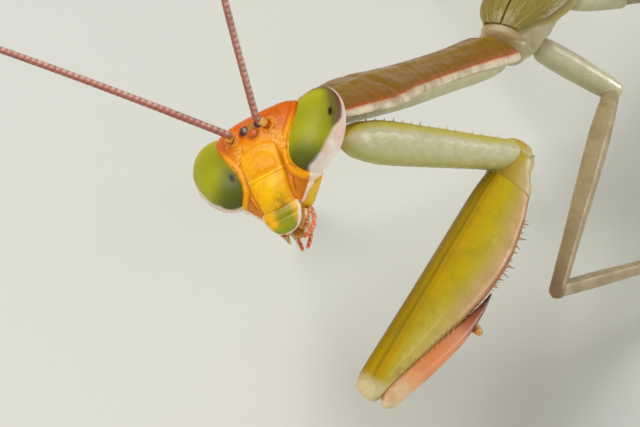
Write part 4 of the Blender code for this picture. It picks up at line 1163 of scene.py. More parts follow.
@dataclass
class HeadShell:
    """The shell of the head, with its face plates, sutures, sockets and rims."""

    eyes: Eyes
    levels: Stations = (
        (1.83, 0.02, 0.01, 0.01), (1.82, 0.60, 0.10, 0.16), (1.79, 1.10, 0.20, 0.30),
        (1.70, 1.70, 0.55, 0.70), (1.45, 2.10, 0.90, 1.05), (1.05, 2.28, 1.12, 1.28),
        (0.60, 2.36, 1.24, 1.42), (0.10, 2.32, 1.32, 1.44), (-0.45, 2.20, 1.39, 1.36),
        (-0.95, 1.98, 1.44, 1.10), (-1.35, 1.86, 1.46, 0.88), (-1.80, 1.94, 1.43, 0.66),
        (-2.10, 1.92, 1.40, 0.54), (-2.40, 1.72, 1.37, 0.48), (-2.80, 1.38, 1.30, 0.44),
        (-3.06, 1.13, 1.20, 0.40), (-3.14, 0.80, 0.80, 0.34), (-3.16, 0.02, 0.02, 0.02))
    squareness: float = 2.5
    around: int = 320
    rings: int = 260
    shield_half: float = 0.95
    shield_top: float = 0.02
    shield_foot: float = -1.52
    bow_depth: float = 0.05
    seam_side: float = 0.98
    seam_taper: float = 0.14
    brow_height: float = 0.80
    brow_radius: float = 0.75
    socket_radius: float = 0.27
    pit_radius: float = 0.22
    strand_level: float = -1.4
    strand_gap: float = 0.075
    eye_rim: float = 1.08
    eye_groove: float = 1.18
    band_levels: tuple[float, ...] = (-3.2, -2.98, -2.65, -2.33, -1.95, -1.5)
    band_depths: tuple[float, ...] = (-0.70, -0.70, -0.66, -0.58, -0.28, 0.10)
    band_widths: tuple[float, ...] = (0.08, 0.09, 0.12, 0.19, 0.54, 0.80)
    grain: float = 0.055
    waves: float = 0.018
    painted: tuple[str, ...] = ("shield", "clypeus", "rough", "crown", "lower", "rim", "cream", "patch",
                                "smudge", "side", "line")
    sockets: dict[Hand, tuple[float, float]] = field(default_factory=lambda: {
        Hand.LEFT: (0.80, 0.68), Hand.RIGHT: (-1.12, 0.86)})
    ocelli: tuple[tuple[float, float], ...] = ((0.06, 0.58), (0.40, 0.93), (-0.36, 0.90))
    strands: tuple[tuple[float, float, float, float], ...] = (
        (1.10, -0.75, 1.35, 1.80), (1.34, -1.10, 1.45, 2.05), (1.62, -0.10, 1.55, 2.30),
        (1.25, 0.25, 2.0, 2.75))

    def section(self) -> tuple[Array, Array, Array, Array]:
        """The shell before its relief.

        Returns:
            The sphere's piece, and the side, depth and height of each vertex, in the head's frame.
        """
        piece, share, angle = ball("head_shell", self.around, self.rings)
        rows = np.array(self.levels)
        gaps = np.hypot(np.diff(rows[:, 0]), 0.7 * np.diff(rows[:, 1]))
        marks = np.concatenate([[0.0], np.cumsum(gaps)])
        places = share * marks[-1]
        table = flowing(places, marks, rows)
        side, back = superellipse(angle, self.squareness)
        depth = np.where(back >= 0.0, table[:, 3], table[:, 2])
        return piece, table[:, 1] * side, depth * back, table[:, 0]

    def bow(self, wide: Array) -> Array:
        """Height of the bowed seam at the shield's foot."""
        return self.shield_foot - self.bow_depth * (1.0 - (wide / self.shield_half) ** 2)

    def seam(self, z: Array) -> Array:
        """Side of the seam between the face plates and the cheek."""
        return self.seam_side - self.seam_taper * step(-z, 1.5, 3.0)

    def strand_lines(self, z: Array) -> Iterator[tuple[Array, Array]]:
        """The cheek's raised strands, each with its side and its reach at these heights."""
        for start, slope, low, high in self.strands:
            reach = step(-z, low, low + 0.15) * step(high + z, 0.0, 0.15)
            yield start + slope * (z - self.strand_level), reach

    def masks(self, x: Array, y: Array, z: Array) -> dict[str, Array]:
        """Where each region of the head lies.

        Args:
            x: side of each vertex.
            y: depth of each vertex, towards the nape.
            z: height of each vertex.

        Returns:
            A share of 0 to 1 per vertex for each region's name.
        """
        front = step(-y, 0.0, 0.5)
        wide = np.abs(x)
        arch = self.shield_top - 0.30 * (wide / self.shield_half) ** 2.5
        shield = step(self.shield_half - wide, -0.05, 0.10) * step(arch - z, -0.06, 0.12)
        shield = shield * step(z - self.shield_foot, -0.03, 0.04) * front
        taper = self.shield_half - 0.16 * step(self.shield_foot - z, 0.1, 1.5)
        clypeus = step(taper - wide, -0.08, 0.12) * step(self.shield_foot - z, -0.03, 0.04) * front
        points = np.stack([x, y, z], axis=1)
        near = np.min([self.eyes.nearness(points, hand) for hand in Hand], axis=0)
        sockets = np.min([np.hypot(x - side, z - height) for side, height in self.sockets.values()], axis=0)
        band_x, band_z = (wide - 1.10) * 0.82 + (z + 0.22) * 0.45, (z + 0.22) * 0.86 - (wide - 1.10) * 0.5
        rough = step(0.26 - np.abs(band_x), 0.0, 0.12) * step(0.75 - np.abs(band_z), 0.0, 0.25)
        around_socket = step(0.50 - sockets, 0.0, 0.16)
        glow = bell(wide, 0.62, 0.42) * bell(z, -0.75, 0.5) * shield
        return {
            "front": front,
            "shield": shield * (0.55 + 0.45 * glow),
            "plate": shield,
            "clypeus": clypeus * (0.45 + 0.55 * bell(x, 0.0, 0.62)),
            "apron": clypeus,
            "near": near,
            "sockets": sockets,
            "rough": np.maximum(rough, around_socket * 0.8) * front,
            "brow": np.hypot(x, (z - self.brow_height) * 1.05),
            "crown": step(z + 0.25 * wide, 0.15, 1.0),
            "lower": step(wide, 0.80, 1.15) * step(-z, 1.2, 2.1),
            "rim": step(1.20 - near, 0.0, 0.10) * step(near, 0.98, 1.02) * step(1.1 - z, 0.0, 0.9),
            "cream": self.cream_band(x, y, z),
            "smudge": bell(x, 0.22, 0.34) * bell(z, -2.85, 0.32) * front,
            "side": step(y, -0.75, -0.45) * step(-z, 1.8, 2.2),
            "line": bell(z, self.bow(wide) + 0.05, 0.030) * step(1.02 - wide, 0.0, 0.15) * front,
            "patch": step(0.24 - np.hypot(x - 0.02, (z - 0.93) * 1.1), 0.0, 0.12) * front,
        }

    def cream_band(self, x: Array, y: Array, z: Array) -> Array:
        """The pale rim that runs down each cheek from the back of the eye to the lip."""
        wide = np.abs(x)
        line = np.interp(z, self.band_levels, self.band_depths)
        width = np.interp(z, self.band_levels, self.band_widths)
        return step(width - np.abs(y - line), -0.01, 0.06) * step(wide, 0.75, 0.95) * step(-z, 1.05, 1.35)

    def relief(self, region: dict[str, Array], x: Array, z: Array) -> Array:
        """How far the face stands proud of the smooth shell.

        Args:
            region: the masks.
            x: side of each vertex.
            z: height of each vertex.

        Returns:
            A height per vertex.
        """
        wide = np.abs(x)
        front = region["front"]
        out = 0.10 * region["plate"] + 0.07 * region["apron"]
        boss_top = -0.44 - 0.60 * (wide / 0.80) ** 2.2
        boss = step(0.84 - wide, 0.0, 0.30) * step(boss_top - z, 0.0, 0.22) * step(z + 1.50, 0.0, 0.30)
        out += 0.075 * boss * front
        out -= 0.028 * bell(boss_top - z, 0.0, 0.045) * step(0.80 - wide, 0.0, 0.2) * front
        out += 0.034 * bell(z, self.bow(wide), 0.045) * step(0.97 - wide, 0.0, 0.10)
        swell = (1.0 - (wide / self.shield_half) ** 2).clip(0.0)
        out += 0.13 * region["apron"] * swell * bell(z, -2.20, 0.75)
        out -= 0.012 * bell(z, -2.72, 0.08) * step(0.80 - wide, 0.0, 0.15) * front
        out -= 0.045 * bell(wide, self.seam(z), 0.06) * step(-z, 0.1, 0.4) * front
        out += 0.09 * bell(region["sockets"], self.socket_radius, 0.06) * front
        out -= 0.07 * step(self.pit_radius - region["sockets"], 0.0, 0.10) * front
        out += 0.09 * step(self.brow_radius - region["brow"], 0.0, 0.45) * front
        for side, height in self.ocelli:
            away = np.hypot(x - side, z - height)
            ring, pit = bell(away, self.socket_radius, 0.05), step(self.pit_radius - away, 0.0, 0.10)
            out += front * (0.035 * ring - 0.05 * pit)
        out += 0.06 * bell(region["near"], self.eye_rim, 0.045)
        out -= 0.035 * bell(region["near"], self.eye_groove, 0.03) * front
        for line, inside in self.strand_lines(z):
            crest, trough = bell(wide, line, 0.035), bell(wide, line + self.strand_gap, 0.03)
            out += (0.030 * crest - 0.030 * trough) * inside * front
        out += 0.05 * region["cream"]
        crease = 1.45 - 0.55 * (z - 1.0)
        out -= 0.05 * bell(wide, crease, 0.06) * step(z, 0.9, 1.1) * front
        out -= 0.05 * bell(wide, 0.62, 0.16) * bell(z, 1.35, 0.16) * front
        return out

    def build(self, anatomy: Anatomy) -> None:
        """The shell, with pits in the rough bands and its regions noted for the finish."""
        piece, x, y, z = self.section()
        region = self.masks(x, y, z)
        out = self.relief(region, x, z)
        points = np.stack([x, y, z], axis=1)
        pits, waves = cloud(points * 9.0), cloud(points * 3.2 + np.array((0.0, 0.0, 5.0)))
        out = out + self.grain * pits * region["rough"] + self.waves * waves * region["front"]
        outward = unit_rows(np.stack([x * 0.25, y, z * 0.05], axis=1))
        flank = unit_rows(np.stack([x, y * 0.8, np.zeros_like(z)], axis=1))
        facing = step(-y, 0.1, 0.7)[:, None]
        points = points + (outward * facing + flank * (1.0 - facing)) * out[:, None]
        note(piece, "groove", self.grooves(region, x, z))
        for name in self.painted:
            note(piece, name, region[name])
        place(piece, anatomy.to_world(anatomy.from_head(points)))
        turned_outwards(piece)
        smooth(piece, 70.0)
        dress(piece, Finishes.FACE, ["head_capsule"])
        self.add_ocelli(anatomy)

    def grooves(self, region: dict[str, Array], x: Array, z: Array) -> Array:
        """Where the shell darkens: painted shade in the seams, in the groove round the eyes and in the
        troughs beside the strands, and the shell's own dark rings round the ocelli.

        Args:
            region: the masks.
            x: side of each vertex.
            z: height of each vertex.

        Returns:
            A share of 0 to 1 per vertex.
        """
        wide = np.abs(x)
        dark = bell(wide, self.seam(z), 0.05) * step(-z, 0.5, 1.5) * 0.40
        dark += bell(region["near"], self.eye_groove, 0.03) * 0.40 * step(-z, 0.4, 1.2)
        for line, inside in self.strand_lines(z):
            dark += 0.75 * bell(wide, line + self.strand_gap, 0.035) * inside
        dark = np.clip(dark, 0.0, 1.0)
        for side, height in self.ocelli:
            dark = np.maximum(dark, 0.95 * bell(np.hypot(x - side, (z - height) * 1.15), 0.255, 0.06))
        return dark * region["front"]

    def add_ocelli(self, anatomy: Anatomy) -> None:
        """The three small glossy lenses on the brow."""
        looks = (("front", Finishes.OCELLUS, (0.24, 0.07, 0.19), -1.36),
                 ("left", Finishes.DARK_OCELLUS, (0.20, 0.06, 0.22), -1.31),
                 ("right", Finishes.DARK_OCELLUS, (0.20, 0.06, 0.22), -1.31))
        for (side, height), (word, finish, size, depth) in zip(self.ocelli, looks):
            piece, _, _ = ball(f"ocellus_{word}", 32, 24)
            middle = np.array((side, depth + 0.16 * (height - 0.6), height))
            local = middle + coordinates(piece) * np.array(size)
            place(piece, anatomy.to_world(anatomy.from_head(local)))
            turned_outwards(piece)
            smooth(piece, 80.0)
            dress(piece, finish)


def read_row(rows: Stations, along: float, column: int) -> float:
    """One column of a table, at a place along it."""
    table = np.array(rows)
    return float(np.interp(along, table[:, 0], table[:, column]))


def unit_rows(rows: Array) -> Array:
    """Each row scaled to length one."""
    return rows / np.maximum(np.linalg.norm(rows, axis=1), 1e-9)[:, None]


def cloud(points: Array) -> Array:
    """Smooth noise of about -1 to 1 at each point."""
    return np.array([noise.noise(Vector(point)) for point in points])


@dataclass
class Mouthparts:
    """Upper lip, jaws, lower lip and palps."""

    lip: Stations = ((0.0, 0.90, 0.16, 0.24), (0.30, 0.93, 0.25, 0.27), (0.62, 0.86, 0.29, 0.30),
                     (0.95, 0.68, 0.27, 0.28), (1.18, 0.44, 0.22, 0.22), (1.30, 0.22, 0.14, 0.14))
    jaw: Stations = ((0.0, 0.28, 0.34, 0.34), (0.35, 0.29, 0.35, 0.35), (0.70, 0.22, 0.27, 0.27),
                     (0.95, 0.10, 0.14, 0.14))
    under: Stations = ((0.0, 0.48, 0.18, 0.18), (0.42, 0.50, 0.20, 0.20), (0.82, 0.40, 0.18, 0.18),
                       (1.02, 0.20, 0.12, 0.12))
    palps: dict[str, tuple[Place, ...]] = field(default_factory=lambda: {
        "maxillary_palp": ((0.92, 0.10, -3.14), (0.94, 0.02, -3.70), (0.74, -0.16, -4.22),
                           (0.30, -0.40, -4.50)),
        "labial_palp": ((0.34, 0.66, -3.40), (0.34, 0.56, -4.05), (0.22, 0.36, -4.50), (0.12, 0.10, -4.84))})
    lobe_lines: Sequence[tuple[Place, Place, float]] = (
        ((0.80, 0.12, -3.16), (0.40, -0.22, -4.22), 0.11), ((0.92, -0.02, -3.16), (0.56, -0.30, -4.05), 0.09),
        ((0.62, 0.30, -3.20), (0.20, 0.06, -4.34), 0.10))
    straight_palp: Sequence[Place] = (
        (-1.06, 0.14, -3.10), (-0.84, -0.05, -3.60), (-0.60, -0.14, -4.02), (-0.42, -0.20, -4.44))
    palp_radius: float = 0.098
    joints: int = 5

    def head_path(self, anatomy: Anatomy, controls: Sequence[Place]) -> Path:
        """A path given in the head's frame."""
        return Path(list(anatomy.from_head(np.array(controls, float))))

    def build(self, anatomy: Anatomy) -> None:
        """Every mouthpart, each in its own piece."""
        front = anatomy.head_axes @ np.array((0.0, -1.0, 0.0))
        lip = Limb(
            "upper_lip", self.head_path(anatomy, ((0, -1.06, -2.94), (0, -0.88, -4.24))), front, self.lip,
            around=64, rings=64, squareness=2.6, caps=(0.10, 0.16), relief=self.lip_relief).build(anatomy)
        sides, shares, rises = (read_note(lip, name) for name in ("side", "share", "rise"))
        flank = step(np.abs(sides), 0.86, 0.96) * step(rises, -0.5, 0.1)
        note(lip, "edge", np.maximum(flank, step(shares, 0.94, 0.98)))
        note(lip, "flank", step(np.abs(sides - 0.20), 0.28, 0.75) * step(0.85 - shares, 0.0, 0.35))
        dress(lip, Finishes.LIP, ["labrum"])
        for hand in Hand:
            path = self.head_path(
                anatomy, ((0.62 * hand.value, -0.20, -3.12), (0.28 * hand.value, -0.20, -4.10)))
            jaw = Limb(
                f"jaw_{hand.word}", path, front, self.jaw, around=32, rings=48, squareness=2.2,
                caps=(0.1, 0.1)).build(anatomy)
            dress(jaw, Finishes.JAW, [f"mandible_{hand.word}"])
        path = self.head_path(anatomy, ((0, 0.42, -3.14), (0, 0.42, -4.18)))
        under = Limb(
            "lower_lip", path, front, self.under, around=40, rings=48, squareness=2.4,
            caps=(0.1, 0.14)).build(anatomy)
        dress(under, Finishes.JAW, ["labium"])
        self.lobes(anatomy, front)
        for stem, controls in self.palps.items():
            for hand in Hand:
                self.palp(anatomy, stem, controls, hand, front)

    def lip_relief(self, along: Array, side: Array, rise: Array) -> Array:
        """A shallow fold across the lip and a notch in its tip."""
        return (0.03 * bell(along, 0.42, 0.10) * step(rise, 0.2, 0.7) - 0.02 * bell(along, 0.62, 0.06)
                - 0.04 * bell(side, 0.0, 0.12) * step(along, 0.9, 1.3))

    def lobes(self, anatomy: Anatomy, front: Array) -> None:
        """The small pale chewing lobes between jaws and lower lip."""
        for hand in Hand:
            for number, (root, tip, size) in enumerate(self.lobe_lines, 1):
                mirror = np.array((hand.value, 1.0, 1.0))
                path = self.head_path(anatomy, (np.array(root) * mirror, np.array(tip) * mirror))
                rows = round_rows(((0.0, 1.0), (0.4, 1.0), (0.75, 0.8), (1.0, 0.45)), path.length, size)
                lobe = Limb(
                    f"chewing_lobe_{hand.word}_{number}", path, front, rows, around=20, rings=40,
                    squareness=2.0, caps=(0.06, 0.08)).build(anatomy)
                dress(lobe, Finishes.LOBE if number % 2 else Finishes.PALP)

    def palp(self, anatomy: Anatomy, stem: str, controls: Sequence[Place], hand: Hand,
             front: Array) -> None:
        """One palp of several segments, narrow at each joint.

        Args:
            anatomy: the body's frames.
            stem: the palp's name without its side.
            controls: its path for the left side.
            hand: which side.
            front: the way that the face looks.
        """
        pale = stem.startswith("maxillary") and hand is Hand.RIGHT
        path = self.head_path(
            anatomy, self.straight_palp if pale else [(hand.value * x, y, z) for x, y, z in controls])
        length = path.length
        rows = round_rows(((0.0, 1.0), (0.3, 1.0), (0.6, 0.95), (0.85, 0.82), (1.0, 0.62)), length,
                          self.palp_radius)

        def pinch(along: Array, side: Array, rise: Array) -> Array:
            """Narrow at the joints, swollen before them."""
            saw = (along / length * self.joints) % 1.0
            return -0.042 * bell(np.minimum(saw, 1.0 - saw), 0.0, 0.07) + 0.016 * bell(saw, 0.72, 0.18)

        piece = Limb(
            f"{stem}_{hand.word}_segments", path, front, rows, around=24, rings=120, squareness=2.0,
            caps=(0.08, 0.10), relief=pinch).build(anatomy)
        dress(piece, Finishes.PALE_PALP if pale else Finishes.PALP, [f"{stem}_{hand.word}"])


@dataclass
class Antennae:
    """The two long feelers: a golden root segment and a ringed whip."""

    sockets: dict[Hand, tuple[Place, Place]] = field(default_factory=lambda: {
        Hand.LEFT: ((0.76, -1.30, 0.74), (0.60, -1.72, 1.03)),
        Hand.RIGHT: ((-1.12, -1.14, 0.92), (-0.98, -1.56, 0.98))})
    length: float = 26.7
    steps: int = 13
    root_radius: float = 0.165
    tip_radius: float = 0.105
    aims: dict[Hand, tuple[tuple[float, float], tuple[float, float]]] = field(default_factory=lambda: {
        Hand.LEFT: ((-103.0, 79.0), (-150.0, 52.0)), Hand.RIGHT: ((-74.0, 24.0), (-84.0, 4.0))})

    def build(self, anatomy: Anatomy) -> None:
        """Both feelers, each a whip and a root segment."""
        for hand in Hand:
            foot, top = (anatomy.from_head(np.array(spot)) for spot in self.sockets[hand])
            out = unit(top - foot)
            first, last = (heading(*aim) for aim in self.aims[hand])
            points = [foot + out * 0.15, top - out * 0.12, top + first * 0.10]
            for index in range(self.steps):
                share = (index + 0.5) / self.steps
                aim = unit(first * (1.0 - share ** 1.5) + last * share ** 1.5)
                points.append(points[-1] + aim * self.length / self.steps)
            path = Path(points, 600)
            span = path.length
            rows = round_rows(((0.0, 0.13), (0.25, 0.15), (0.60, self.root_radius),
                               (span * 0.35, self.root_radius * 0.92), (span, self.tip_radius)))

            def bead(along: Array, side: Array, rise: Array) -> Array:
                """A soft swelling in every ring of the whip."""
                saw = (along / span * FEELER_RINGS) % 1.0
                return np.where(along > 0.40, 0.012 * np.sin(math.pi * saw) - 0.006, 0.0)

            whip = Limb(
                f"feeler_{hand.word}", path, UP, rows, around=20, rings=592, squareness=2.0,
                caps=(0.12, 0.2), relief=bead).build(anatomy)
            dress(whip, Finishes.FEELER, [f"antenna_{hand.word}"])
            reach = float(np.linalg.norm(top - foot))
            root_rows = round_rows(((0.0, 0.17), (0.30, 0.19), (0.62, 0.175), (0.78, 0.14), (1.0, 0.16),
                                    (1.18, 0.13)), reach)
            root = Limb(
                f"feeler_root_{hand.word}", straight(foot - out * 0.05, foot + out * 1.3 * reach), first,
                root_rows, around=32, rings=64, squareness=2.0, caps=(0.08, 0.12)).build(anatomy)
            dress(root, Finishes.SCAPE)


# --- trunk -----------------------------------------------------------------------------------
@dataclass
class Prothorax:
    """The long neck shield, the plates under it, and the soft neck in front."""

    shield: Stations = (
        (0.00, 0.95, 0.30), (0.35, 1.30, 0.52), (1.20, 1.52, 0.68), (2.60, 1.68, 0.76), (4.20, 1.92, 0.86),
        (5.60, 1.86, 0.88), (7.40, 1.56, 0.84), (10.00, 1.42, 0.78), (13.50, 1.36, 0.76), (16.50, 1.44, 0.80),
        (18.60, 1.60, 0.84), (19.60, 1.46, 0.66), (19.95, 1.10, 0.36))
    under: Stations = (
        (0.40, 0.55, 0.40), (1.00, 0.80, 0.62), (3.00, 0.86, 0.74), (6.00, 0.98, 0.86), (9.00, 1.06, 0.92),
        (13.50, 1.04, 0.90), (17.00, 1.08, 0.88), (19.00, 0.98, 0.74), (19.70, 0.70, 0.44))
    rim: float = 0.16
    furrow: float = 4.7
    teeth: int = 70

    def shield_relief(self, along: Array, side: Array, rise: Array) -> Array:
        """Keel, cross furrow, thin rolled rim and fine teeth along it."""
        above = step(rise, 0.0, 0.3)
        keel = 0.10 * bell(side, 0.0, 0.16) * above
        furrow = -0.10 * bell(along, self.furrow + 0.6 * np.abs(side), 0.28) * above
        edge = step(np.abs(side), 0.90, 0.98)
        saw = np.sin(along * self.teeth / Anatomy.pronotum_length * math.tau)
        teeth = 0.045 * edge * np.maximum(0.0, saw) * step(10.0 - along, 0.0, 3.0)
        lip = -0.035 * bell(np.abs(side), 0.86, 0.05) * above
        lumps = 0.012 * np.sin(along * 5.1 + side * 7.0) * np.sin(along * 3.3 - side * 11.0) * above
        return keel + furrow + teeth + lip + lumps

    def build(self, anatomy: Anatomy) -> None:
        """Shield, under plates and neck."""
        rearward = -anatomy.forward
        top = square_to(rearward, UP)[1]
        front = anatomy.front
        length = anatomy.pronotum_length
        rows = [(spot, half, crown, self.rim) for spot, half, crown in self.shield]
        shield = Limb(
            "neck_shield", straight(front, front + rearward * length), top, rows, around=96, rings=260,
            squareness=2.0, caps=(0.25, 0.25), relief=self.shield_relief).build(anatomy)
        note(shield, "edge", np.abs(read_note(shield, "side")))
        dress(shield, Finishes.SHIELD, ["pronotum"])
        lowered = front - top * (self.rim + 0.06)
        rows = [(spot, half, 0.05, depth) for spot, half, depth in self.under]
        under = Limb(
            "breast_plates", straight(lowered, lowered + rearward * length), top, rows, around=64, rings=160,
            squareness=2.2, caps=(0.3, 0.3), relief=self.under_relief).build(anatomy)
        dress(under, Finishes.PALE, ["prosternum"])
        self.neck(anatomy, rearward, top)

    def under_relief(self, along: Array, side: Array, rise: Array) -> Array:
        """Seams between the breast plates."""
        below = step(-rise, 0.1, 0.5)
        return below * (-0.05 * bell(along, 3.2, 0.12) - 0.04 * bell(along, 8.4, 0.10)
                        - 0.03 * bell(side, 0.0, 0.08))

    def neck(self, anatomy: Anatomy, rearward: Array, top: Array) -> None:
        """The soft folded skin between nape and shield."""
        nape = anatomy.from_head(np.array((0.0, 1.30, 0.35)))
        out = unit(anatomy.head_axes @ np.array((0.0, 1.0, 0.0)))
        root = anatomy.front - (top - rearward * 1.4) * 0.12
        path = Path((nape, nape + out * 0.7, root - rearward * 0.6, root + rearward * 0.3))
        length = path.length
        rows = round_rows(((0.0, 0.74), (0.25, 0.80), (0.5, 0.84), (0.8, 0.80), (1.0, 0.70)), length)

        def folds(along: Array, side: Array, rise: Array) -> Array:
            """Rings of soft folds."""
            return 0.035 * np.sin(along * 9.0 + side * 1.2)

        neck = Limb(
            "soft_neck_folds", path, top, rows, around=48, rings=96, squareness=2.0, caps=(0.2, 0.2),
            relief=folds).build(anatomy)
        dress(neck, Finishes.NECK, ["neck"])


def read_note(piece: Piece, name: str) -> Array:
    """The numbers kept on a piece's vertices under a name."""
    values = np.empty(len(piece.data.vertices), np.float32)
    piece.data.attributes[name].data.foreach_get("value", values)
    return values


@dataclass
class Thorax:
    """The two leg- and wing-bearing segments behind the waist."""

    length: float = 8.6
    front_rows: Stations = (
        (0.02, 0.80, 0.66, 0.80), (0.06, 1.15, 1.02, 1.24), (0.12, 1.32, 1.22, 1.44),
        (0.20, 1.44, 1.34, 1.66), (0.36, 1.50, 1.30, 1.78), (0.49, 1.48, 1.26, 1.80))
    rear_rows: Stations = (
        (0.505, 1.48, 1.20, 1.80), (0.66, 1.52, 1.20, 1.80), (0.84, 1.50, 1.14, 1.62),
        (0.99, 1.36, 1.04, 1.12))

    def relief(self, along: Array, side: Array, rise: Array) -> Array:
        """Slanting seams between the side plates and a furrow under the belly."""
        flank = step(np.abs(side), 0.35, 0.7)
        slant = (along + 0.9 * rise) % 2.15
        return (-0.07 * bell(slant, 1.0, 0.09) * flank - 0.05 * bell(side, 0.0, 0.08) * step(-rise, 0.3, 0.8)
                + 0.02 * np.sin(along * 4.0) * flank)

    def build(self, anatomy: Anatomy) -> None:
        """Both segments."""
        for name, node, rows in (("wing_thorax_front", "mesothorax", self.front_rows),
                                 ("wing_thorax_rear", "metathorax", self.rear_rows)):
            table = [(share * self.length, *sizes) for share, *sizes in rows]
            piece = Limb(
                name, straight(anatomy.waist, anatomy.waist + anatomy.rearward * self.length), UP, table,
                around=72, rings=96, squareness=2.3, caps=(0.25, 0.25), relief=self.relief).build(anatomy)
            dress(piece, Finishes.THORAX, [node])


@dataclass
class Abdomen:
    """Ringed plates that overlap towards the tail, and the pair of cerci."""

    start: float = 8.68
    length: float = 29.0
    segments: int = 6
    cercus: float = 3.2
    cercus_pitch: float = 0.36

    def size(self, share: float) -> tuple[float, float]:
        """Half width and half height at a share of the length."""
        swell = math.sin(math.pi * min(1.0, 0.22 + 0.78 * share) ** 0.9)
        half = 1.05 + 0.62 * swell - 0.45 * max(0.0, share - 0.8) / 0.2
        return half, 0.74 * half

    def plates(self, along: Array, side: Array, rise: Array) -> Array:
        """A raised line at the side where back and belly plates meet."""
        return 0.05 * bell(rise, 0.0, 0.10) - 0.03 * bell(rise, -0.18, 0.08) - 0.03 * bell(rise, 0.18, 0.08)

    def build(self, anatomy: Anatomy) -> None:
        """Six segments and two cerci."""
        begin = anatomy.waist + anatomy.rearward * self.start
        pitch = self.length / self.segments
        for number in range(self.segments):
            rows = []
            for part, flare in ((-0.06, 0.86), (0.0, 0.93), (0.10, 0.99), (0.90, 1.04), (1.0, 1.0)):
                spot = min(max((number + part) * pitch, 0.0), self.length)
                if rows and spot <= rows[-1][0]:
                    continue
                half, high = self.size(spot / self.length)
                rows.append((spot, half * flare, high * flare, high * flare))
            if number == self.segments - 1:
                half = rows[-1][1]
                rows[-1] = (self.length - 0.5, half * 0.9, half * 0.66, half * 0.66)
                rows.append((self.length - 0.02, half * 0.45, half * 0.33, half * 0.33))
            piece = Limb(
                f"belly_ring_{number + 1}", straight(begin, begin + anatomy.rearward * self.length), UP,
                rows, around=64, rings=72, squareness=2.1, caps=(0.10, 0.12),
                relief=self.plates).build(anatomy)
            dress(piece, Finishes.ABDOMEN, [f"abdomen_segment_{number + 1}"])
        across = square_to(anatomy.rearward, UP)[0]
        tip = begin + anatomy.rearward * (self.length - 0.1)
        for hand in Hand:
            root = tip + across * (0.45 * hand.value)
            aim = unit(anatomy.rearward + across * (0.35 * hand.value))
            rows = round_rows(((0.0, 0.24), (0.8, 0.28), (1.8, 0.24), (2.7, 0.17), (3.25, 0.08)))

            def rings(along: Array, side: Array, rise: Array) -> Array:
                """The cercus's narrow segments."""
                saw = (along / self.cercus_pitch) % 1.0
                return 0.02 * np.sin(math.pi * saw) - 0.01

            piece = Limb(
                f"cercus_{hand.word}_rings", straight(root, root + aim * self.cercus), UP, rows,
                around=24, rings=96, squareness=2.0, caps=(0.1, 0.1), relief=rings).build(anatomy)
            dress(piece, Finishes.ABDOMEN, [f"cercus_{hand.word}"])


@dataclass
class Tegmina:
    """The leathery wing covers, folded as a low roof, with the hind wings' edges under them."""

    stations: Stations = (
        (0.70, 0.95, 1.26, 0.92), (1.50, 1.52, 1.58, 0.80), (2.60, 1.92, 1.78, 0.34),
        (4.40, 2.16, 1.84, 0.00), (8.00, 2.22, 1.84, -0.05), (14.0, 2.22, 1.80, -0.05),
        (22.0, 2.30, 1.84, -0.05), (30.0, 2.22, 1.80, -0.02), (35.0, 1.90, 1.64, 0.15),
        (37.6, 1.45, 1.42, 0.45), (38.8, 0.80, 1.15, 0.75))
    thickness: float = 0.16
    midline: float = 0.04
    veil_inset: float = 0.30
    long_faces: int = 260
    cross_faces: int = 40

    def cover(self, anatomy: Anatomy, name: str, hand: Hand, inset: float) -> Piece:
        """One curved sheet with its wall inside.

        Args:
            anatomy: the body's frames.
            name: the sheet's name.
            hand: which side.
            inset: how far the sheet lies under the outer surface.

        Returns:
            The sheet.
        """
        deselect()
        bpy.ops.mesh.primitive_grid_add(
            x_subdivisions=self.long_faces, y_subdivisions=self.cross_faces, size=2.0)
        sheet = bpy.context.view_layer.objects.active
        sheet.name = name
        sheet.data.name = name
        flat = coordinates(sheet)
        rows = np.array(self.stations)
        share = (flat[:, 0] + 1.0) / 2.0
        eased = 0.7 * share + 0.3 * (1.0 - np.cos(math.pi * share)) / 2.0
        along = rows[0, 0] + (rows[-1, 0] - rows[0, 0]) * eased
        sizes = flowing(along, rows[:, 0], rows[:, 1:])
        across = (flat[:, 1] + 1.0) / 2.0
        angle = across * math.pi / 2.0
        out = self.midline + (sizes[:, 0] - self.midline) * np.sin(angle) ** 0.9
        rise = sizes[:, 2] + (sizes[:, 1] - sizes[:, 2]) * np.cos(angle) ** 0.8
        veins = 0.008 * np.cos(across * 7.0 * math.tau) * step(across, 0.0, 0.1) * step(along, 0.7, 3.0)
        furrow = -0.05 * bell(across, 0.42, 0.05) * step(36.0 - along, 0.0, 6.0)
        shrink = veins + furrow - inset
        out = out + shrink * np.sin(angle)
        rise = rise + shrink * np.cos(angle)
        side, top = square_to(anatomy.rearward, UP)
        points = (anatomy.waist + np.outer(along, anatomy.rearward) + np.outer(out * hand.value, side)
                  + np.outer(rise, top))
        place(sheet, anatomy.to_world(points))
        note(sheet, "along", along)
        note(sheet, "across", across)
        face_up(sheet)
        wall = sheet.modifiers.new("wall", "SOLIDIFY")
        wall.thickness = self.thickness * MM
        wall.offset = -1.0
        pick(sheet)
        bpy.ops.object.modifier_apply(modifier="wall")
        smooth(sheet, 60.0)
        return sheet

    def build(self, anatomy: Anatomy) -> None:
        """Both wing covers."""
        for hand in Hand:
            sheet = self.cover(anatomy, f"wing_cover_{hand.word}", hand, 0.0)
            dress(sheet, Finishes.WING, [f"tegmen_{hand.word}"])
            veil = self.cover(anatomy, f"hind_wing_{hand.word}", hand, self.veil_inset)
            dress(veil, Finishes.VEIL)


def face_up(sheet: Piece) -> None:
    """Turn an open sheet's faces so that most of its area looks up."""
    shape = bmesh.new()
    shape.from_mesh(sheet.data)
    shape.normal_update()
    away = sum(face.normal.z * face.calc_area() for face in shape.faces)
    if away < 0.0:
        bmesh.ops.reverse_faces(shape, faces=shape.faces)
    shape.to_mesh(sheet.data)
    shape.free()
    sheet.data.update()


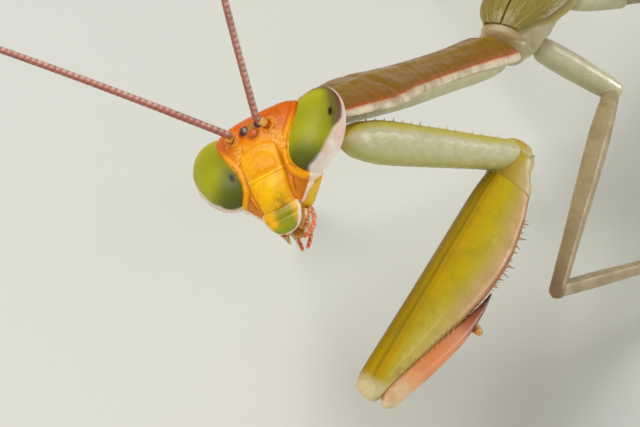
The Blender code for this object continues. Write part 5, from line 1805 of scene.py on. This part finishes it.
# --- forelegs --------------------------------------------------------------------------------
@dataclass
class ForelegPose:
    """How one foreleg is held; every pair is (turn, rise)."""

    coxa: tuple[float, float]
    femur: tuple[float, float]
    tarsus: tuple[float, float]
    roll: float
    shift: float


@dataclass
class Foreleg:
    """One grasping leg: coxa, hinge, deep spined femur, hooked tibia and slender foot."""

    hand: Hand
    pose: ForelegPose
    hip: Place = (1.15, 0.75, -1.18)
    coxa_length: float = 13.6
    femur_length: float = 16.0
    tarsus_length: float = 4.2
    coxa_rows: Stations = (
        (0.00, 0.30, 0.34), (0.30, 0.52, 0.60), (1.10, 0.66, 0.84), (3.00, 0.74, 1.00), (6.50, 0.72, 0.92),
        (10.4, 0.68, 0.80), (12.4, 0.68, 0.75), (13.6, 0.66, 0.72))
    femur_rows: Stations = (
        (1.60, 0.54, 0.60, 1.72), (2.00, 0.64, 0.68, 1.84), (3.50, 0.76, 0.78, 2.20),
        (6.00, 0.82, 0.82, 2.48), (7.00, 0.82, 0.83, 2.44), (7.70, 0.81, 0.84, 2.36),
        (9.00, 0.80, 0.86, 2.16), (9.90, 0.78, 0.87, 1.98), (11.3, 0.74, 0.90, 1.62),
        (12.6, 0.68, 0.93, 1.28), (14.0, 0.62, 0.96, 0.90), (15.3, 0.56, 0.98, 0.58),
        (16.1, 0.52, 0.88, 0.42), (16.5, 0.40, 0.64, 0.30))
    tibia_rows: Stations = (
        (-0.38, 0.60, 0.30), (-0.10, 0.76, 0.46), (1.00, 0.98, 0.48), (2.20, 1.32, 0.50), (3.60, 1.66, 0.48),
        (4.70, 1.93, 0.45), (5.40, 2.08, 0.40), (6.10, 2.21, 0.31), (6.90, 2.33, 0.22), (7.50, 2.38, 0.14),
        (8.30, 2.41, 0.04))
    hinge_rows: Stations = (
        (0.0, 0.70, 0.74, 0.80), (0.25, 0.86, 0.90, 1.00), (0.5, 0.80, 0.86, 1.30), (0.8, 0.66, 0.72, 1.66),
        (1.0, 0.60, 0.64, 1.76))
    spines_from_knee: tuple[float, ...] = (9.0, 9.9, 10.8, 11.7, 12.6)
    femur_ribs: Stations = (
        (0.035, 0.42, 0.09), (-0.03, 0.22, 0.08), (0.03, -0.30, 0.12), (-0.05, -0.62, 0.10),
        (0.03, -0.85, 0.07))
    small_spines: int = 24
    comb_spines: int = 11
    coxa_teeth: int = 16

    def build(self, anatomy: Anatomy) -> None:
        """The whole leg, from hip to claws."""
        rearward = -anatomy.forward
        top = square_to(rearward, UP)[1]
        side_out, back, high = self.hip
        hip = anatomy.front + rearward * back + np.array((side_out * self.hand.value, 0.0, 0.0)) + top * high
        self.coxa_aim = heading(*self.pose.coxa)
        self.ankle = hip + self.coxa_aim * self.coxa_length
        self.aim = heading(*self.pose.femur)
        apart = unit(self.coxa_aim + self.aim * -float(self.coxa_aim @ self.aim)) * self.pose.shift
        self.root = self.ankle + apart
        self.knee = self.root + self.aim * self.femur_length
        down = square_to(self.aim, -UP)[1]
        across = np.cross(self.aim, down)
        roll = math.radians(self.pose.roll)
        self.under = unit(down * math.cos(roll) + across * math.sin(roll))
        self.side = unit(np.cross(self.aim, self.under))
        self.coxa(anatomy, hip)
        self.hinge(anatomy)
        self.femur(anatomy)
        self.tibia(anatomy)
        self.tarsus(anatomy)

    def coxa(self, anatomy: Anatomy, hip: Array) -> None:
        """The long first segment, three-edged, with small blunt teeth along its front edge."""
        rows = [(along, half, deep, deep) for along, half, deep in self.coxa_rows]
        hinge = unit(np.cross(self.aim, self.coxa_aim))
        top = unit(np.cross(self.coxa_aim, hinge))
        top = top if top[2] > 0.0 else -top

        def edges(along: Array, side: Array, rise: Array) -> Array:
            """Ridges at the edges of the faces and low bumps between."""
            return (0.05 * bell(rise, 0.93, 0.10) + 0.04 * bell(np.abs(side), 0.98, 0.06)
                    + 0.012 * np.sin(along * 6.0) * np.sin(rise * 9.0))

        word = self.hand.word
        piece = Limb(
            f"coxa_{word}_blade", straight(hip, self.ankle), top, rows, around=56, rings=160,
            squareness=2.4, caps=(0.25, 0.3), relief=edges).build(anatomy)
        dress(piece, Finishes.COXA, [f"fore_coxa_{word}"])
        feet = []
        for index in range(self.coxa_teeth):
            along = 1.6 + index * 0.72
            foot = hip + self.coxa_aim * along + top * (read_row(self.coxa_rows, along, 2) - 0.03)
            feet.append((foot, top + self.coxa_aim * 0.35, 0.09, 0.22 if index % 3 else 0.32))
        teeth = spine_row(f"coxa_{word}_teeth", anatomy, feet)
        dress(teeth, Finishes.KNEE)

    def hinge(self, anatomy: Anatomy) -> None:
        """The round trochanter between coxa and femur."""
        word = self.hand.word
        away = self.root - self.ankle
        if np.linalg.norm(away) < 0.5:
            controls = (self.ankle - self.coxa_aim * 0.5, self.ankle + self.coxa_aim * 0.25 + self.aim * 0.12,
                        self.root + self.aim * 0.9, self.root + self.aim * 1.9)
        else:
            controls = (self.ankle - unit(away) * 0.6, self.ankle + away * 0.5, self.root + self.aim * 0.2,
                        self.root + self.aim * 1.9)
        path = Path(controls)
        span = path.length
        rows = [(share * span, *sizes) for share, *sizes in self.hinge_rows]
        piece = Limb(
            f"hinge_{word}", path, -self.under, rows, around=56, rings=96, squareness=2.2,
            caps=(0.5, 0.12)).build(anatomy)
        dress(piece, Finishes.TROCHANTER, [f"fore_trochanter_{word}"])

    def femur(self, anatomy: Anatomy) -> None:
        """The deep compressed segment, its knee lobes and its two rows of spines."""
        word = self.hand.word

        def ridges(along: Array, side: Array, rise: Array) -> Array:
            """Long shallow ribs on the faces and a groove along the under edge."""
            mid = step(along, 2.0, 3.5) * step(16.2 - along, 0.0, 1.0)
            ribs = sum(height * bell(rise, centre, width) for height, centre, width in self.femur_ribs)
            return mid * ribs - 0.10 * bell(side, 0.0, 0.25) * step(-rise, 0.8, 0.97)

        piece = Limb(
            f"femur_{word}_blade", straight(self.root, self.knee), -self.under, self.femur_rows, around=96,
            rings=240, squareness=2.3, caps=(0.3, 0.40), relief=ridges).build(anatomy)
        dress(piece, Finishes.FEMUR, [f"fore_femur_{word}"])
        feet = []
        for hand in (1.0, -1.0):
            for order, from_knee in enumerate(self.spines_from_knee):
                foot = self.under_edge(self.femur_length - from_knee, 0.22, 0.24 * hand)
                lean = self.under + self.side * (0.38 * hand) - self.aim * 0.15
                feet.append((foot, lean, 0.12, 0.45 * (1.2 if order % 2 else 0.85)))
            for index in range(self.small_spines):
                foot = self.under_edge(3.2 + index * 0.40, 0.12, 0.30 * hand)
                feet.append((foot, self.under + self.side * (0.55 * hand), 0.05, 0.22))
        spines = spine_row(f"femur_{word}_spines", anatomy, feet)
        dress(spines, Finishes.SPINE)

    def under_edge(self, along: float, within: float, aside: float) -> Array:
        """A point just within the femur's under edge.

        Args:
            along: its distance from the femur's root.
            within: its depth inside the edge.
            aside: its distance to the femur's side.

        Returns:
            The point in the body's frame.
        """
        deep = read_row(self.femur_rows, along, 3)
        return self.root + self.aim * along + self.under * (deep - within) + self.side * aside

    def tibia(self, anatomy: Anatomy) -> None:
        """The folded tibia with its comb of small spines and long dark claw."""
        word = self.hand.word
        rows = np.array(self.tibia_rows)
        controls = self.knee - np.outer(rows[:, 0], self.aim) + np.outer(rows[:, 1], self.under)
        path = Path(list(controls))
        marks = np.interp(
            np.linspace(0.0, len(rows) - 1.0, len(path.marks)), np.arange(len(rows)), rows[:, 2])
        places = np.linspace(0.0, path.length, 14)
        radii = np.interp(places, path.marks, marks)
        table = [(spot, radius * 0.9, radius, radius) for spot, radius in zip(places, radii)]
        piece = Limb(
            f"tibia_{word}_hook", path, self.under, table, around=48, rings=160, squareness=2.0,
            caps=(0.42, 0.12)).build(anatomy)
        dress(piece, Finishes.TIBIA, [f"fore_tibia_{word}"])
        feet = []
        for hand in (1.0, -1.0):
            for index in range(self.comb_spines):
                along = 1.0 + index * 0.40
                deep, size = (read_row(self.tibia_rows, along, column) for column in (1, 2))
                foot = (self.knee - self.aim * along + self.under * (deep - size * 0.55)
                        + self.side * (hand * size * 0.62))
                lean = -self.under * 0.55 + self.side * (0.7 * hand) - self.aim * 0.5
                feet.append((foot, lean, 0.07, 0.40))
        comb = spine_row(f"tibia_{word}_comb", anatomy, feet)
        dress(comb, Finishes.SPINE)

    def tarsus(self, anatomy: Anatomy) -> None:
        """The slender five-jointed foot and its two claws."""
        word = self.hand.word
        foot_root = self.knee - self.aim * 6.00 + self.under * 2.72
        aim = heading(*self.pose.tarsus)
        path = Path((foot_root - self.under * 0.25, foot_root + self.under * 0.10 + aim * 0.5,
                     foot_root + aim * self.tarsus_length))
        span = path.length
        joints = (0.42, 0.60, 0.74, 0.86)

        def joint_shape(along: Array, side: Array, rise: Array) -> Array:
            """Pinched between the foot's joints."""
            share = along / span
            return sum(-0.05 * bell(share, spot, 0.018) + 0.03 * bell(share, spot - 0.03, 0.02)
                       for spot in joints)

        rows = round_rows(((0.0, 0.20), (0.3, 0.17), (0.6, 0.17), (0.85, 0.18), (1.0, 0.15)), span)
        piece = Limb(
            f"fore_foot_{word}", path, self.under, rows, around=24, rings=160, squareness=2.0,
            caps=(0.15, 0.12), relief=joint_shape).build(anatomy)
        dress(piece, Finishes.FORE_TARSUS, [f"fore_tarsus_{word}"])
        tip = foot_root + aim * (self.tarsus_length - 0.10)
        across = square_to(aim, UP)[0]
        feet = [(tip + across * (0.06 * hand), aim * 0.8 + across * (0.5 * hand), 0.06, 0.40)
                for hand in (1.0, -1.0)]
        dress(spine_row(f"fore_claws_{word}", anatomy, feet, bend=-0.3), Finishes.CLAW)


# --- walking legs ----------------------------------------------------------------------------
@dataclass
class WalkingLeg:
    """One slender leg: coxa, femur, tibia, and a foot flat on the ground."""

    name: str
    hip: Place
    coxa: tuple[float, float]
    femur: tuple[float, float]
    tibia: float
    tarsus: float
    lengths: tuple[float, float, float, float]
    coxa_radii: tuple[float, ...] = (0.62, 0.68, 0.64, 0.56)
    femur_radii: tuple[float, ...] = (0.44, 0.60, 0.55, 0.46, 0.42)
    tibia_radii: tuple[float, ...] = (0.36, 0.38, 0.33, 0.31, 0.33)
    overrun: float = 0.50
    ankle_height: float = 0.85
    foot_half: float = 0.28
    foot_height: float = 0.52

    def rod(self, anatomy: Anatomy, name: str, start: Array, end: Array, radii: Sequence[float],
            finish: Finish, node: str, relief: Relief | None = None) -> None:
        """One straight segment with round ends.

        Args:
            anatomy: the body's frames.
            name: the piece's name.
            start: where it begins.
            end: where it ends.
            radii: its radii, evenly spaced.
            finish: what it wears.
            node: the solid it stands for.
            relief: its ridges.
        """
        span = float(np.linalg.norm(end - start))
        rows = [
            (span * index / (len(radii) - 1), size * 0.94, size, size) for index, size in enumerate(radii)]
        piece = Limb(
            name, straight(start, end), UP, rows, around=40, rings=140, squareness=2.15,
            caps=(radii[0] * 0.9, radii[-1] * 0.9), relief=relief).build(anatomy)
        dress(piece, finish, [node])

    def build(self, anatomy: Anatomy) -> None:
        """The four segments and the claws."""
        back, out, high = self.hip
        coxa_length, femur_length, tibia_length, tarsus_length = self.lengths
        top = square_to(anatomy.rearward, UP)[1]
        hip = anatomy.waist + anatomy.rearward * back + np.array((out, 0.0, 0.0)) + top * high
        coxa_aim = heading(*self.coxa)
        joint = hip + coxa_aim * coxa_length
        femur_aim = heading(*self.femur)
        knee = joint + femur_aim * femur_length
        drop = math.degrees(math.asin((self.ankle_height - knee[2]) / tibia_length))
        tibia_aim = heading(self.tibia, drop)
        ankle = knee + tibia_aim * tibia_length

        def ribs(along: Array, side: Array, rise: Array) -> Array:
            """Four fine keels along the segment."""
            return 0.022 * (bell(rise, 0.75, 0.12) + bell(rise, -0.75, 0.12))

        name = self.name
        self.rod(anatomy, f"{name}_coxa_cone", hip, joint + coxa_aim * self.overrun, self.coxa_radii,
                 Finishes.PALE_COXA, f"{name}_coxa")
        self.rod(anatomy, f"{name}_thigh", joint, knee + femur_aim * self.overrun * 0.8, self.femur_radii,
                 Finishes.LEG, f"{name}_femur", ribs)
        self.rod(anatomy, f"{name}_shin", knee, ankle, self.tibia_radii, Finishes.LEG,
                 f"{name}_tibia", ribs)
        foot, across = ankle - tibia_aim * 0.5 - UP * 0.1, square_to(tibia_aim, UP)[0]
        spurs = [(foot, tibia_aim + across * hand, 0.07, 0.5) for hand in (0.5, -0.5)]
        dress(spine_row(f"{name}_spurs", anatomy, spurs), Finishes.SPINE)
        self.foot(anatomy, ankle, tarsus_length)

    def foot(self, anatomy: Anatomy, ankle: Array, length: float) -> None:
        """Five joints and a pair of claws lying on the ground.

        Args:
            anatomy: the body's frames.
            ankle: the tibia's end.
            length: the foot's length without its claws.
        """
        ahead = heading(self.tarsus, 0.0)
        across = heading(self.tarsus + 90.0, 0.0)
        start = np.array((ankle[0], ankle[1], self.foot_height / 2.0))
        joints = (0.38, 0.56, 0.70, 0.82)

        def pads(along: Array, side: Array, rise: Array) -> Array:
            """Pinched joints with a small pad under each end, flat on the ground."""
            share = along / length
            pinch = sum(-0.06 * bell(share, spot, 0.016) + 0.025 * bell(share, spot - 0.035, 0.02)
                        for spot in joints)
            return pinch * step(rise, -0.9, -0.2)

        half, tall = self.foot_half, self.foot_height / 2.0
        rows = [(0.05, half * 0.9, tall, tall), (length * 0.3, half * 0.85, tall * 0.9, tall),
                (length * 0.7, half * 0.85, tall * 0.85, tall), (length * 0.99, half * 0.8, tall * 0.8, tall)]
        piece = Limb(
            f"{self.name}_foot", straight(start, start + ahead * length), UP, rows, around=32, rings=140,
            squareness=2.6, caps=(0.25, 0.2), relief=pads).build(anatomy)
        dress(piece, Finishes.FOOT, [f"{self.name}_tarsus"])
        tip = start + ahead * (length * 0.96)
        feet = [(tip + across * (0.10 * hand), heading(self.tarsus + 26.0 * hand, 4.0), 0.09, 0.85)
                for hand in (1.0, -1.0)]
        dress(spine_row(f"{self.name}_claws", anatomy, feet, bend=-0.22), Finishes.CLAW)


# --- studio ----------------------------------------------------------------------------------
@dataclass(frozen=True)
class Lamp:
    """A soft square light: where it stands beside, above and before the head, and its metres and watts."""

    name: str
    aim: Place
    away: float
    size: float
    power: float
    colour: Colour


@dataclass
class Studio:
    """Pale floor, soft light and the camera."""

    azimuth: float = 30.0
    elevation: float = 36.0
    roll: float = 6.0
    distance: float = 190.0
    right: float = 2.203
    down: float = 2.709
    lens: float = 242.6
    floor_size: float = 3.0
    floor_colour: Colour = (0.70, 0.71, 0.68)
    floor_roughness: float = 0.9
    sky: Colour = (0.95, 0.98, 0.95)
    sky_strength: float = 0.24
    lamps: tuple[Lamp, ...] = (
        Lamp("key_light", (-0.55, 0.75, 0.65), 0.50, 0.40, 2.5, (1.0, 0.97, 0.90)),
        Lamp("edge_light", (0.85, 0.10, -0.25), 0.45, 0.22, 2.6, (1.0, 0.99, 0.97)),
        Lamp("fill_light", (0.35, -0.15, 1.0), 0.70, 0.60, 1.1, (0.97, 1.0, 0.95)))

    def axes(self) -> tuple[Array, Array, Array]:
        """Right, up and back of the camera, rolled."""
        turn, lift = math.radians(self.azimuth), math.radians(self.elevation)
        back = np.array((math.sin(turn) * math.cos(lift), -math.cos(turn) * math.cos(lift), math.sin(lift)))
        across = np.array((math.cos(turn), math.sin(turn), 0.0))
        above = np.cross(back, across)
        angle = math.radians(self.roll)
        return (across * math.cos(angle) - above * math.sin(angle),
                across * math.sin(angle) + above * math.cos(angle), back)

    def camera(self, anatomy: Anatomy) -> None:
        """The camera, aimed a little beside the head."""
        right, up, back = self.axes()
        spot = anatomy.head_origin + right * self.right - up * self.down + back * self.distance
        data = bpy.data.cameras.new("studio_camera")
        data.lens = self.lens
        data.sensor_width = 36.0
        data.clip_start = 0.001
        data.clip_end = 20.0
        shown = bpy.data.objects.new("studio_camera", data)
        bpy.context.scene.collection.objects.link(shown)
        stand = Matrix((right, up, back)).transposed().to_4x4()
        stand.translation = Vector(anatomy.to_world(spot))
        shown.matrix_world = stand
        bpy.context.scene.camera = shown

    def light(self, lamp: Lamp, target: Array) -> None:
        """One lamp, turned to the target.

        Args:
            lamp: which.
            target: where it looks, in metres.
        """
        aim = unit(sum(axis * share for axis, share in zip(self.axes(), lamp.aim)))
        data = bpy.data.lights.new(lamp.name, "AREA")
        data.shape = "SQUARE"
        data.size = lamp.size
        data.energy = lamp.power
        data.color = lamp.colour
        shown = bpy.data.objects.new(lamp.name, data)
        bpy.context.scene.collection.objects.link(shown)
        shown.location = Vector(target + aim * lamp.away)
        shown.rotation_euler = Vector(aim).to_track_quat("Z", "Y").to_euler()

    def build(self, anatomy: Anatomy) -> None:
        """Floor, lights, world and camera."""
        deselect()
        bpy.ops.mesh.primitive_plane_add(size=self.floor_size, location=(0, 0, 0))
        floor = bpy.context.view_layer.objects.active
        floor.name = "studio_floor"
        made = bpy.data.materials.new("pale_floor")
        made.use_nodes = True
        shader = made.node_tree.nodes["Principled BSDF"]
        shader.inputs["Base Color"].default_value = (*self.floor_colour, 1.0)
        shader.inputs["Roughness"].default_value = self.floor_roughness
        floor.data.materials.append(made)
        for lamp in self.lamps:
            self.light(lamp, anatomy.to_world(anatomy.head_origin))
        world = bpy.data.worlds.new("studio_world")
        world.use_nodes = True
        sky = world.node_tree.nodes["Background"].inputs
        sky["Color"].default_value = (*self.sky, 1.0)
        sky["Strength"].default_value = self.sky_strength
        bpy.context.scene.world = world
        bpy.context.scene.view_settings.view_transform = "Standard"
        self.camera(anatomy)


def main() -> None:
    """Build every sub-assembly in order."""
    logging.basicConfig(level=logging.INFO, format="%(name)s: %(message)s")
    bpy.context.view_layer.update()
    anatomy = Anatomy()
    eyes = Eyes()
    poses = {
        Hand.LEFT: ForelegPose((165.6, -34.1), (0.7, -8.4), (-150.0, -34.0), 60.0, 0.0),
        Hand.RIGHT: ForelegPose((-148.6, -41.0), (29.4, 36.2), (-150.0, -36.0), -125.0, 1.9),
    }
    mid = (5.33, 14.0, 13.0, 5.0)
    hind = (5.27, 17.0, 19.0, 5.6)
    builders = [
        Studio(), HeadShell(eyes), eyes, Mouthparts(), Antennae(), Prothorax(), Thorax(), Abdomen(),
        Tegmina(), *(Foreleg(hand, pose) for hand, pose in poses.items()), WalkingLeg("mid_left",
        (2.3, 1.0, -1.2), (134.4, -44.6), (12.0, -8.6), 169.0, 60.0, mid), WalkingLeg("mid_right",
        (2.3, -1.0, -1.2), (-144.4, -45.0), (-24.0, 12.0), -150.0, -115.0, mid), WalkingLeg("hind_left",
        (6.3, 1.0, -1.2), (172.0, -30.0), (118.0, 8.0), 163.0, 150.0, hind), WalkingLeg("hind_right",
        (6.3, -1.0, -1.2), (-148.8, -49.6), (-130.0, 14.0), -164.0, -150.0, hind),]
    for builder in builders:
        builder.build(anatomy)
        LOG.info("%s is built", type(builder).__name__)


if __name__ == "__main__":
    main()
